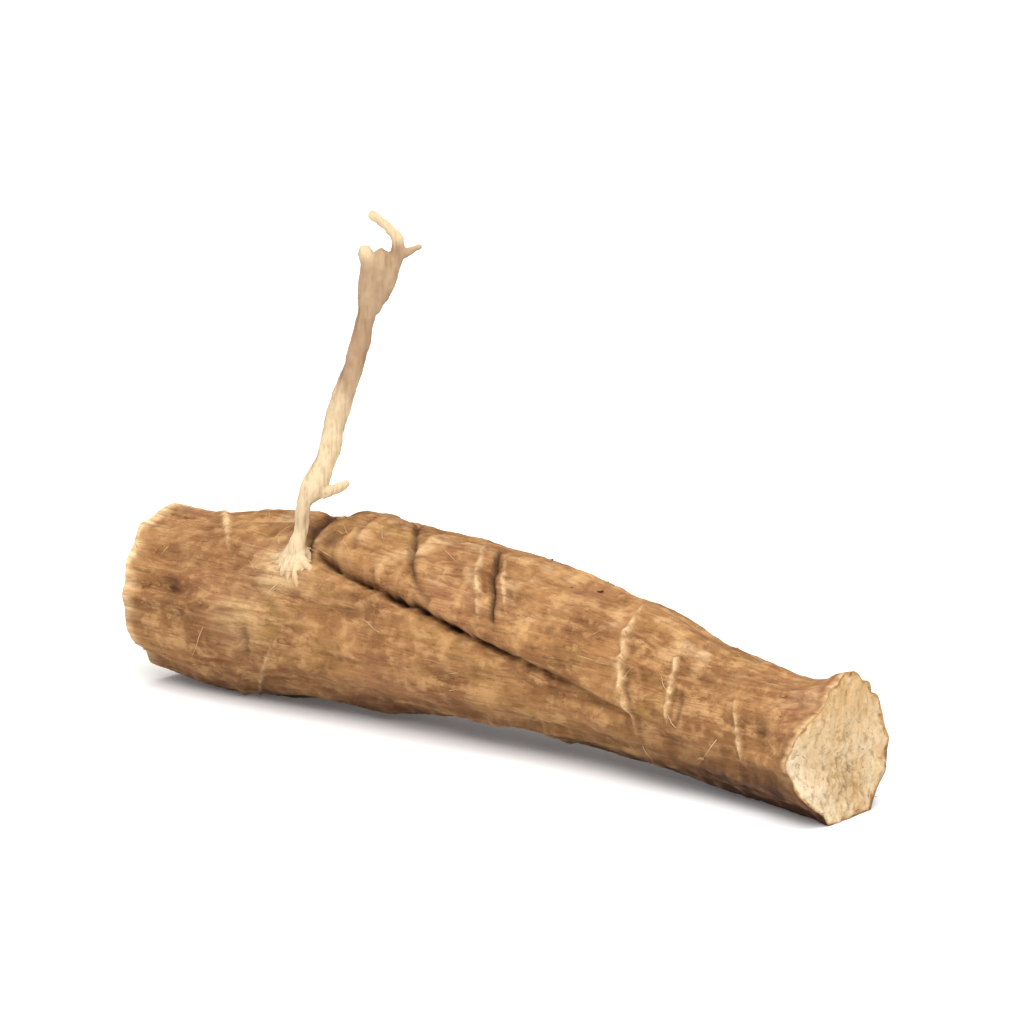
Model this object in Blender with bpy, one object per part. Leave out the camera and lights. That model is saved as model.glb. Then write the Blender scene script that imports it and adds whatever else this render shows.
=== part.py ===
"""A piece of dried valerian root that lies on a surface, with one fine rootlet standing on it.

Metres, +Z up. +X runs along the root, from its thick cut end to its thin cut end, and -Y is the side with
the open seam. The origin is the middle of the bottom of the whole piece. A place on the root is given as a
share of its length from the thick end, and an angle in degrees from the top, towards -Y.
Run it with: blender --background --python part.py
"""

import math

import bmesh
import bpy
from mathutils import Vector, noise

# Driving dimensions
ROOT_LENGTH = 0.060
THICKEST_RADIUS = 0.0063
ROOTLET_RADIUS = 0.00072
BARK_COLOUR = (0.45, 0.24, 0.105, 1.0)
BARK_ROUGHNESS = 0.88

# Share of the length, and radius as a share of the thickest
RADIUS_STATIONS = (
    (0.00, 0.825), (0.05, 0.885), (0.115, 0.960), (0.18, 0.992), (0.25, 1.000), (0.32, 0.940), (0.385, 0.915),
    (0.455, 0.880), (0.52, 0.845), (0.59, 0.800), (0.66, 0.767), (0.725, 0.750), (0.79, 0.705), (0.86, 0.690),
    (0.93, 0.694), (1.00, 0.757),
)
# Share of the length, and how far the underside stands off the floor, before the flat spots
GAP_STATIONS = (
    (0.00, 0.00080), (0.05, 0.00030), (0.10, -0.00012), (0.16, -0.00018), (0.25, 0.00045), (0.32, 0.00080),
    (0.385, 0.00095), (0.455, 0.00115), (0.52, 0.00130), (0.59, 0.00125), (0.66, 0.00110), (0.725, 0.00085),
    (0.79, 0.00058), (0.86, 0.00022), (0.93, -0.00010), (1.00, -0.00022),
)
BOW = 0.0012

# The upper strand, a second root grown on to the first: its lower edge, where the open seam is, runs down
# the near side as it goes along, and its back edge lies on the far side
SEAM_STATIONS = (
    (0.00, 34.0), (0.22, 37.0), (0.27, 42.0), (0.34, 51.0), (0.43, 61.0), (0.51, 72.0), (0.61, 81.0),
    (0.72, 92.0), (0.82, 98.0), (1.00, 100.0),
)
BACK_EDGE_STATIONS = ((0.00, -44.0), (0.30, -46.0), (0.60, -66.0), (1.00, -92.0))
STRAND_START, STRAND_FADE, STRAND_END = 0.250, 0.66, 0.82
STRAND_HEIGHT = 0.00050
SEAM_DEPTH, SEAM_WIDTH = 0.00060, 0.00050
SHOULDER_SHARE = 0.020

# Raised scars and creases: share and angle where each starts and ends, height, and width along the root
SCARS = (
    (0.052, -14, 0.135, 40, 0.00030, 0.00080),
    (0.335, -12, 0.398, 38, -0.00040, 0.00070),
    (0.446, -4, 0.510, 56, 0.00034, 0.00065),
    (0.476, 2, 0.528, 54, -0.00050, 0.00055),
    (0.500, 4, 0.552, 56, 0.00028, 0.00065),
    (0.692, 6, 0.738, 100, 0.00048, 0.00075),
    (0.774, 22, 0.790, 80, 0.00046, 0.00065),
    (0.878, 46, 0.907, 102, 0.00044, 0.00065),
    (0.178, 102, 0.135, 160, 0.00036, 0.00150),
    (0.230, 102, 0.160, 154, 0.00028, 0.00060),
    (0.100, -35, 0.120, -120, 0.00030, 0.00080),
    (0.290, -62, 0.262, -155, 0.00036, 0.00080),
    (0.385, -92, 0.400, -168, -0.00030, 0.00070),
    (0.475, -40, 0.500, -118, 0.00034, 0.00075),
    (0.640, -95, 0.615, -176, 0.00036, 0.00075),
    (0.735, -20, 0.715, -90, 0.00034, 0.00065),
    (0.830, -34, 0.852, -130, 0.00036, 0.00065),
    (0.585, 128, 0.600, 205, 0.00030, 0.00070),
    (0.925, -150, 0.915, -60, 0.00026, 0.00060),
)
SCAR_END_FADE = 14.0

# Lumps and hollows: share, angle, height and radius
LUMPS = (
    (0.320, 8, 0.00036, 0.0026),
    (0.268, 30, -0.00060, 0.0011),
    (0.545, 4, 0.00016, 0.0026),
    (0.690, -8, 0.00018, 0.0026),
    (0.092, 72, -0.00034, 0.0011),
    (0.140, 70, 0.00022, 0.0018),
    (0.927, 68, -0.00040, 0.0010),
    (0.990, 6, 0.00040, 0.0018),
    (0.430, 100, 0.00026, 0.0040),
    (0.430, -84, 0.00060, 0.0022),
    (0.205, -98, 0.00055, 0.0030),
    (0.905, -62, 0.00034, 0.0020),
    (0.560, -150, 0.00045, 0.0020),
)
# Low scars of side roots that broke off, each a rim round a hollow: share, angle, height and radius
ROOT_SCARS = (
    (0.365, -66, 0.00075, 0.00170),
    (0.165, -58, 0.00060, 0.00150),
    (0.600, -112, 0.00070, 0.00150),
    (0.815, -70, 0.00055, 0.00125),
    (0.330, 166, 0.00050, 0.00150),
    (0.500, 140, 0.00050, 0.00140),
)
LUMP_NOISE = 0.00034
FURROW_DEPTH, FURROWS = 0.00020, 12
RIM_FLARE, RIM_WIDTH = 0.00022, 0.0014

# The cut ends. At the thin end the bark is torn back in a notch on the near side, and the wood stands out.
CUT_ROUGHNESS = 0.00026
CUT_RINGS = 5
THICK_CUT_SLANT = 0.0007
THIN_CUT_SLANT = 0.0007
NOTCH_ANGLE, NOTCH_WIDTH, NOTCH_DEPTH = 90.0, 30.0, 0.0018
NOTCH_RIDGE = 0.00035
PITH_SINK = 0.00040

# The rootlet: where it stands, then the points of its line from there and its radius at each
ROOTLET_SHARE, ROOTLET_ANGLE = 0.236, 45.0
ROOTLET_LINE = (
    ((0.0000, 0.0013, -0.0014), 2.10),
    ((0.0000, 0.0004, -0.0003), 1.75),
    ((0.0000, 0.0000, 0.0006), 1.05),
    ((0.0001, 0.0002, 0.0017), 0.62),
    ((0.0001, 0.0006, 0.0036), 0.68),
    ((0.0005, 0.0011, 0.0047), 1.18),
    ((0.0010, 0.0020, 0.0071), 0.90),
    ((0.0012, 0.0028, 0.0098), 0.98),
    ((0.0016, 0.0035, 0.0120), 0.92),
    ((0.0020, 0.0041, 0.0142), 0.90),
    ((0.0022, 0.0047, 0.0162), 0.82),
    ((0.0022, 0.0052, 0.0180), 0.96),
    ((0.0021, 0.0054, 0.0198), 0.66),
    ((0.0017, 0.0054, 0.0209), 0.46),
)
HOOK_LINE = (
    ((0.0023, 0.0051, 0.0174), 0.66),
    ((0.0032, 0.0061, 0.0195), 0.62),
    ((0.0037, 0.0066, 0.0212), 0.56),
    ((0.0032, 0.0064, 0.0225), 0.48),
    ((0.0022, 0.0058, 0.0233), 0.34),
)
THORN_LINE = (
    ((0.0004, 0.0010, 0.0044), 0.70),
    ((0.0014, 0.0015, 0.0045), 0.56),
    ((0.0025, 0.0022, 0.0052), 0.36),
)
# The toes that the rootlet spreads on the bark: direction in degrees from +X towards the underside, and reach
TOES = ((204.0, 0.0027), (177.0, 0.0023), (118.0, 0.0014), (54.0, 0.0015), (317.0, 0.0016), (262.0, 0.0017))
TOE_RADIUS = 0.00042
TOE_HEIGHT = 0.0013

# How finely the solids are faceted
RINGS = 80
LINES = 46
LINES_NEAR_SEAM = 0.34
ROOTLET_SIDES = 9
TWIG_SIDES = 7
TOE_SIDES = 6
STEPS_PER_POINT = 2


def smooth(low, high, value):
    """0 below low, 1 above high and an even curve between them."""
    share = min(1.0, max(0.0, (value - low) / (high - low)))
    return share * share * (3.0 - 2.0 * share)


def bell(distance, width):
    """1 at no distance, falling off over the width."""
    return math.exp(-((distance / width) ** 2))


def hermite(start, end, start_pull, end_pull, u):
    """A point at share u of a cubic from start to end, with a pull at each."""
    return (
        start * (2 * u**3 - 3 * u**2 + 1)
        + start_pull * (u**3 - 2 * u**2 + u)
        + end * (3 * u**2 - 2 * u**3)
        + end_pull * (u**3 - u**2)
    )


def between(stations, share):
    """The value at a share of the length, on a smooth curve through the stations."""
    last = len(stations) - 2
    i = next((i for i in range(last + 1) if share <= stations[i + 1][0]), last)
    (low, start), (high, end) = stations[i], stations[i + 1]
    before, after = stations[max(i - 1, 0)], stations[min(i + 2, last + 1)]
    span = high - low
    start_pull = span * (end - before[1]) / (high - before[0])
    end_pull = span * (after[1] - start) / (after[0] - low)
    return hermite(start, end, start_pull, end_pull, (share - low) / span)


def turned(angle, middle):
    """An angle in degrees measured from the middle, within half a turn."""
    return (angle - middle + 180.0) % 360.0 - 180.0


def outward(angle):
    """The direction that points out of the root at an angle from its top."""
    turn = math.radians(angle)
    return Vector((0.0, -math.sin(turn), math.cos(turn)))


def plain_radius(share):
    """The root's radius with nothing on it."""
    return THICKEST_RADIUS * between(RADIUS_STATIONS, share)


def centre(share):
    """The middle of the root at a share of its length."""
    bow = BOW * 4.0 * share * (1.0 - share)
    return Vector((share * ROOT_LENGTH, bow, plain_radius(share) + between(GAP_STATIONS, share)))


def strand(share, angle):
    """Height of the upper strand, with the open seam along its lower edge and a crease where it starts."""
    arc = math.radians(plain_radius(share))
    to_seam = turned(between(SEAM_STATIONS, share), angle) * arc
    to_back = turned(angle, between(BACK_EDGE_STATIONS, share)) * arc
    reach = smooth(STRAND_START - SHOULDER_SHARE, STRAND_START + SHOULDER_SHARE, share)
    reach *= 1.0 - smooth(STRAND_FADE, STRAND_END, share)
    over_seam = smooth(-SEAM_WIDTH, SEAM_WIDTH, to_seam)
    over_back = smooth(-SEAM_WIDTH * 2.0, SEAM_WIDTH * 4.0, to_back)
    open_seam = smooth(0.22, 0.30, share) * (1.0 - 0.7 * smooth(0.60, 0.78, share))
    groove = SEAM_DEPTH * open_seam * bell(to_seam + 0.5 * SEAM_WIDTH, SEAM_WIDTH)
    crease = 0.7 * SEAM_DEPTH * bell((share - STRAND_START + SHOULDER_SHARE) * ROOT_LENGTH, 1.5 * SEAM_WIDTH)
    return STRAND_HEIGHT * reach * over_seam * over_back - groove - crease * over_seam * over_back


def scars(share, angle):
    """Height of all the raised scars and creases at one place."""
    height = 0.0
    for start, first, end, last, rise, width in SCARS:
        half = abs(last - first) / 2.0
        off_middle = turned(angle, (first + last) / 2.0)
        line = (start + end) / 2.0 + (end - start) * off_middle / (last - first)
        fade = 1.0 - smooth(half, half + SCAR_END_FADE, abs(off_middle))
        height += rise * fade * bell((share - line) * ROOT_LENGTH, width)
    return height


def lumps(share, angle):
    """Height of the lumps, the scars of side roots, the lengthwise furrows and the slow unevenness."""
    arc = math.radians(plain_radius(share))
    height = 0.0
    for where, turn, rise, width in LUMPS:
        distance = math.hypot((share - where) * ROOT_LENGTH, turned(angle, turn) * arc)
        height += rise * bell(distance, width)
    for where, turn, rise, width in ROOT_SCARS:
        distance = math.hypot((share - where) * ROOT_LENGTH, turned(angle, turn) * arc)
        height += rise * (bell(distance, width) - 0.8 * bell(distance, 0.5 * width))
    around = outward(angle)
    slow = noise.noise(Vector((share * 7.0, around.y * 1.3, around.z * 1.3)))
    drift = noise.noise(Vector((share * 5.0, around.y * 1.5, around.z * 1.5 + 3.0)))
    strength = 0.7 + noise.noise(Vector((share * 9.0, around.y * 2.0, around.z * 2.0 + 7.0)))
    furrow = strength * math.cos(math.radians(FURROWS * angle) + 4.0 * drift)
    return height + LUMP_NOISE * slow + FURROW_DEPTH * furrow


def notch(angle):
    """1 in the middle of the notch in the bark at the thin end, 0 away from it."""
    return bell(turned(angle, NOTCH_ANGLE), NOTCH_WIDTH)


def skin(share, angle):
    """The point of the bark at a place, flat where the root rests."""
    from_end = min(share, 1.0 - share) * ROOT_LENGTH
    flare = RIM_FLARE * bell(from_end, RIM_WIDTH)
    flare += NOTCH_RIDGE * notch(angle) * smooth(0.86, 1.0, share)
    radius = plain_radius(share) + strand(share, angle) + scars(share, angle) + lumps(share, angle) + flare
    point = centre(share) + outward(angle) * radius
    point.z = max(point.z, 0.0)
    point.x -= THICK_CUT_SLANT * math.cos(math.radians(angle)) * (1.0 - smooth(0.0, 0.10, share))
    thin_cut = THIN_CUT_SLANT * math.sin(math.radians(angle)) - NOTCH_DEPTH * notch(angle)
    point.x += thin_cut * smooth(0.90, 1.0, share)
    return point


def line_angles(share):
    """The angles of the mesh's lines at a share: closer together at the seam, and turning with it."""
    seam = between(SEAM_STATIONS, share)
    turns = (2.0 * math.pi * i / LINES for i in range(LINES))
    return [seam + math.degrees(turn - LINES_NEAR_SEAM * math.sin(turn)) for turn in turns]


def ring_of(mesh, points):
    """Adds a ring of vertices."""
    return [mesh.verts.new(point) for point in points]


def join_rings(mesh, first, second):
    """Adds the faces between two rings with the same number of vertices."""
    for i in range(len(first)):
        j = (i + 1) % len(first)
        mesh.faces.new((first[i], first[j], second[j], second[i]))


def close_ring(mesh, ring, point):
    """Adds the faces from a ring to one vertex at a point."""
    hub = mesh.verts.new(point)
    for i in range(len(ring)):
        mesh.faces.new((ring[i], ring[(i + 1) % len(ring)], hub))


def add_cut_face(mesh, rim, outwards):
    """Closes an end with rings that run in to its middle: rough wood, sunk at the pith.

    outwards is -1 at the thick end and +1 at the thin end, along X. The wood follows the slant of the
    rim, and stands out past it where the bark is torn back.
    """
    middle = sum((vert.co for vert in rim), Vector()) / len(rim)
    furthest = max(vert.co.x * outwards for vert in rim)
    previous = rim
    for ring in range(1, CUT_RINGS):
        share = 1.0 - ring / CUT_RINGS
        points = []
        for vert in rim:
            point = middle.lerp(vert.co, share)
            short_by = max(0.0, furthest - vert.co.x * outwards - 2.0 * THICK_CUT_SLANT)
            rough = CUT_ROUGHNESS * noise.noise(point * 900.0)
            point.x += outwards * (rough + 0.5 * short_by * share - PITH_SINK * (1.0 - share) ** 2)
            points.append(point)
        current = ring_of(mesh, points)
        join_rings(mesh, previous, current)
        previous = current
    close_ring(mesh, previous, middle - Vector((outwards * PITH_SINK, 0.0, 0.0)))


def new_object(name, mesh):
    """An object from a finished bmesh, with its faces pointing out."""
    bmesh.ops.recalc_face_normals(mesh, faces=mesh.faces)
    data = bpy.data.meshes.new(name)
    mesh.to_mesh(data)
    mesh.free()
    made = bpy.data.objects.new(name, data)
    bpy.context.scene.collection.objects.link(made)
    return made


def root_body():
    """The thick root: rings along its length, each a round of points on the bark, and two cut ends."""
    mesh = bmesh.new()
    rings = []
    for i in range(RINGS + 1):
        share = i / RINGS
        rings.append(ring_of(mesh, [skin(share, angle) for angle in line_angles(share)]))
    for first, second in zip(rings, rings[1:]):
        join_rings(mesh, first, second)
    add_cut_face(mesh, rings[0], -1.0)
    add_cut_face(mesh, rings[-1], 1.0)
    return new_object("valerian_root", mesh)


def curve_through(line):
    """Points and radii on a smooth curve through a line's points."""
    places = [Vector(place) for place, _ in line]
    radii = [share for _, share in line]
    made = []
    for i in range(len(places) - 1):
        start_pull = (places[i + 1] - places[max(i - 1, 0)]) / 2.0
        end_pull = (places[min(i + 2, len(places) - 1)] - places[i]) / 2.0
        for step in range(STEPS_PER_POINT):
            u = step / STEPS_PER_POINT
            place = hermite(places[i], places[i + 1], start_pull, end_pull, u)
            made.append((place, radii[i] + (radii[i + 1] - radii[i]) * smooth(0.0, 1.0, u)))
    made.append((places[-1], radii[-1]))
    return made


def twig(name, line, base, thickness, sides):
    """A round twig along a line of points from its base, with a blunt tip."""
    mesh = bmesh.new()
    points = curve_through(line)
    side = Vector((1.0, 0.0, 0.0))
    previous = None
    for i, (place, share) in enumerate(points):
        ahead = points[min(i + 1, len(points) - 1)][0] - points[max(i - 1, 0)][0]
        across = side.cross(ahead).normalized()
        side = ahead.cross(across).normalized()
        round_points = []
        for k in range(sides):
            turn = 2.0 * math.pi * k / sides
            direction = side * math.cos(turn) + across * math.sin(turn)
            uneven = 1.0 + 0.25 * noise.noise(place * 700.0 + direction * 1.4)
            round_points.append(base + place + direction * thickness * share * uneven)
        ring = ring_of(mesh, round_points)
        if previous is None:
            mesh.faces.new(ring)
        else:
            join_rings(mesh, previous, ring)
        previous = ring
    tip, share = points[-1]
    close_ring(mesh, previous, base + tip + ahead.normalized() * thickness * share * 0.6)
    return new_object(name, mesh)


def toe(number, direction, reach, base, out):
    """One toe of the rootlet, from its neck down to the bark, where its end sinks in."""
    turn = math.radians(direction)
    along = Vector((1.0, 0.0, 0.0))
    way = along * math.cos(turn) + along.cross(out) * math.sin(turn)
    line = (
        (out * TOE_HEIGHT * 0.5, 0.8),
        (out * TOE_HEIGHT * 0.4 + way * reach * 0.25, 1.1),
        (out * TOE_HEIGHT * 0.1 + way * reach * 0.6, 1.0),
        (way * reach - out * TOE_RADIUS * 1.5, 0.6),
    )
    return twig(f"toe_{number}", line, base, TOE_RADIUS, TOE_SIDES)


def rootlet():
    """The standing rootlet with its hooked tip, thorn and toes, as separate overlapping twigs."""
    base = skin(ROOTLET_SHARE, ROOTLET_ANGLE)
    out = outward(ROOTLET_ANGLE)
    made = [
        twig("rootlet", ROOTLET_LINE, base, ROOTLET_RADIUS, ROOTLET_SIDES),
        twig("hook", HOOK_LINE, base, ROOTLET_RADIUS, TWIG_SIDES),
        twig("thorn", THORN_LINE, base, ROOTLET_RADIUS, TWIG_SIDES),
    ]
    for number, (direction, reach) in enumerate(TOES):
        made.append(toe(number, direction, reach, base, out))
    return made


def fuse(body, grown):
    """Joins what grew on the root to it, as one solid."""
    group = bpy.data.collections.new("grown_on_the_root")
    bpy.context.scene.collection.children.link(group)
    for piece in grown:
        bpy.context.scene.collection.objects.unlink(piece)
        group.objects.link(piece)
    union = body.modifiers.new("grow_together", "BOOLEAN")
    union.operation = "UNION"
    union.operand_type = "COLLECTION"
    union.collection = group
    union.solver = "EXACT"
    bpy.context.view_layer.objects.active = body
    bpy.ops.object.modifier_apply(modifier=union.name)
    for piece in grown:
        bpy.data.objects.remove(piece)
    bpy.data.collections.remove(group)


def put_origin_under_middle(body):
    """Moves the mesh so that the origin is the middle of the bottom of its box."""
    corners = [Vector(corner) for corner in body.bound_box]
    low = Vector(min(corner[axis] for corner in corners) for axis in range(3))
    high = Vector(max(corner[axis] for corner in corners) for axis in range(3))
    middle = (low + high) / 2.0
    for vert in body.data.vertices:
        vert.co -= Vector((middle.x, middle.y, low.z))


def bark():
    """Dry, matt brown bark."""
    material = bpy.data.materials.new("bark")
    material.use_nodes = True
    shader = material.node_tree.nodes["Principled BSDF"]
    shader.inputs["Base Color"].default_value = BARK_COLOUR
    shader.inputs["Roughness"].default_value = BARK_ROUGHNESS
    shader.inputs["Metallic"].default_value = 0.0
    return material


def main():
    """Clears the scene and builds the root."""
    for old in list(bpy.data.objects):
        bpy.data.objects.remove(old)
    body = root_body()
    fuse(body, rootlet())
    put_origin_under_middle(body)
    body.data.materials.append(bark())
    body.data.shade_smooth()
    body.data.set_sharp_from_angle(angle=math.radians(50.0))


main()
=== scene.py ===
"""A cut piece of dried valerian root on a pale floor, with one fine rootlet standing on it.

Metres, +Z up. +X runs along the root from its thick cut end to its thin one, and -Y is the side with the
open seam. A place on the root is a share of its length from the thick end, and an angle in degrees from
the top, towards -Y.
"""

from __future__ import annotations

import itertools
import logging
import math
from collections.abc import Iterable, Sequence
from dataclasses import dataclass, field
from enum import Enum

import bmesh
import bpy
import numpy as np
from mathutils import Matrix, Vector, noise

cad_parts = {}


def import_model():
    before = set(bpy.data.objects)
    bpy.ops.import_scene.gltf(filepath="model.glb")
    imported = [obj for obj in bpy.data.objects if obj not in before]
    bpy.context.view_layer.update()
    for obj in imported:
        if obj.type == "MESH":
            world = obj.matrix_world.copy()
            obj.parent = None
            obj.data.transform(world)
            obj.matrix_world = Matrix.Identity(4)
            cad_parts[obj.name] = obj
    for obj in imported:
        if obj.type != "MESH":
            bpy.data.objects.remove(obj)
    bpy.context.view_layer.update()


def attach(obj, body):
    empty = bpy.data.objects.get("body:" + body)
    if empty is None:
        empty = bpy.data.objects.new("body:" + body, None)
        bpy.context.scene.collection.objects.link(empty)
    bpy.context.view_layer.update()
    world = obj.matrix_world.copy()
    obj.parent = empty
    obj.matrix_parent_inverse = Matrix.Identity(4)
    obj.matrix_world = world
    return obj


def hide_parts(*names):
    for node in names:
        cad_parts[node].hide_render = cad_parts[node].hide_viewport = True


log = logging.getLogger("valerian_root")

BODY = "root"
NODE = "valerian_root"

Stations = tuple[tuple[float, float], ...]
Colour = tuple[float, float, float]
Span = tuple[float, float, float, float]


class End(Enum):
    """The two cut ends, and the way each faces along X."""

    THICK = -1.0
    THIN = 1.0


class Look(Enum):
    """The measures kept on the mesh for its finish, each from 0 to 1 or from -1 to 1."""

    CREST = "crest"
    # Painted shade on the root's bark and cut ends; on the rootlet, random darker blotches.
    HOLLOW = "hollow"
    # Pale scars, partly a painted highlight on their lit side.
    SCAR = "scar"
    WARM = "warm"
    CUT = "cut"
    WOOD = "wood"
    PITH = "pith"
    # Streaks of the cut wood, with a painted pool of light on the thin end's face.
    STREAK = "streak"
    # Pale bark, with painted highlight on the thick rim's upper side and in patches along the top.
    PALE = "pale"


# Shapes of curves, and noise


def smooth(low: float, high: float, value: np.ndarray) -> np.ndarray:
    """An even curve from 0 to 1.

    Args:
        low: Where it leaves 0.
        high: Where it reaches 1.
        value: Where it is read.

    Returns:
        The curve's height at each value.
    """
    share = np.clip((value - low) / (high - low), 0.0, 1.0)
    return share * share * (3.0 - 2.0 * share)


def bell(distance: np.ndarray, width: float | np.ndarray) -> np.ndarray:
    """1 at no distance, falling off over the width."""
    return np.exp(-((distance / width) ** 2))


def turned(angle: np.ndarray, middle: np.ndarray | float) -> np.ndarray:
    """Angles in degrees measured from the middle, within half a turn."""
    return (angle - middle + 180.0) % 360.0 - 180.0


def between(stations: Stations, share: np.ndarray) -> np.ndarray:
    """Values on a smooth curve through stations.

    Args:
        stations: Pairs of a share and the value there.
        share: Where the curve is read.

    Returns:
        The value at each share.
    """
    places = np.array([place for place, _ in stations])
    values = np.array([value for _, value in stations])
    last = len(places) - 2
    i = np.clip(np.searchsorted(places[1:], share, side="left"), 0, last)
    before, after = np.maximum(i - 1, 0), np.minimum(i + 2, last + 1)
    span = places[i + 1] - places[i]
    start_pull = span * (values[i + 1] - values[before]) / (places[i + 1] - places[before])
    end_pull = span * (values[after] - values[i]) / (places[after] - places[i])
    u = (share - places[i]) / span
    return (
        values[i] * (2 * u**3 - 3 * u**2 + 1)
        + start_pull * (u**3 - 2 * u**2 + u)
        + values[i + 1] * (3 * u**2 - 2 * u**3)
        + end_pull * (u**3 - u**2)
    )


@dataclass(frozen=True)
class Grain:
    """Seeded gradient noise, from about -1 to 1."""

    seed: int

    def at(self, points: np.ndarray) -> np.ndarray:
        """The noise at each point, with one bump about every unit.

        Args:
            points: Rows of x, y and z.

        Returns:
            The noise at each point.
        """
        source = np.random.default_rng(self.seed)
        table = source.permutation(256)
        slopes = source.normal(size=(256, 3))
        slopes /= np.linalg.norm(slopes, axis=1, keepdims=True)
        cell = np.floor(points).astype(np.int64)
        local = points - cell
        fade = local**3 * (local * (local * 6.0 - 15.0) + 10.0)
        total = np.zeros(len(points))
        for corner in itertools.product((0, 1), repeat=3):
            x, y, z = (cell + corner).T
            pick = table[(table[(table[x & 255] + y) & 255] + z) & 255]
            rise = np.sum(slopes[pick] * (local - corner), axis=1)
            total += rise * np.prod(np.where(np.array(corner) == 1, fade, 1.0 - fade), axis=1)
        return total * 1.7

    def rough(self, points: np.ndarray, octaves: int = 3) -> np.ndarray:
        """Noise with finer noise on it, each layer twice as fine and half as high.

        Args:
            points: Rows of x, y and z.
            octaves: How many layers there are.

        Returns:
            The noise at each point.
        """
        total = np.zeros(len(points))
        for octave in range(octaves):
            total += Grain(self.seed + octave).at(points * 2.0**octave) / 2.0**octave
        return total


@dataclass(frozen=True)
class Scar:
    """A raised line or crease that crosses the bark from one share and angle to another.

    Its painted shade lies beside it, or along it when it is a crease, and low_end is how much more of it
    there is at its second place.
    """

    start: float
    first: float
    end: float
    last: float
    rise: float
    width: float
    # Pale scar tissue, partly a painted highlight.
    paleness: float = 0.5
    # Painted shade beside the scar, or along it when it is a crease.
    shade: float = 0.35
    low_end: float = 0.0


@dataclass(frozen=True)
class Crease:
    """A crease along a line of places, each a share and an angle, with painted shade in it."""

    line: Stations
    depth: float
    width: float
    shade: float


@dataclass(frozen=True)
class Lump:
    """A bump or a dip, or the scar of a side root, at one place."""

    share: float
    angle: float
    rise: float
    radius: float


@dataclass
class Marks:
    """What the bark has at each of some places: how far it stands proud, and how it looks."""

    rise: np.ndarray
    crest: np.ndarray
    # Painted shade: in the bark's pits, cracks, creases, dents and underneath, and in the cut ends' slits and
    # holes.
    hollow: np.ndarray
    scar: np.ndarray
    warm: np.ndarray
    pale: np.ndarray
    cut: np.ndarray = field(init=False)
    wood: np.ndarray = field(init=False)
    pith: np.ndarray = field(init=False)
    streak: np.ndarray = field(init=False)

    def __post_init__(self) -> None:
        """Starts with no cut wood anywhere."""
        self.cut, self.wood, self.pith, self.streak = (np.zeros_like(self.rise) for _ in range(4))


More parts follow.
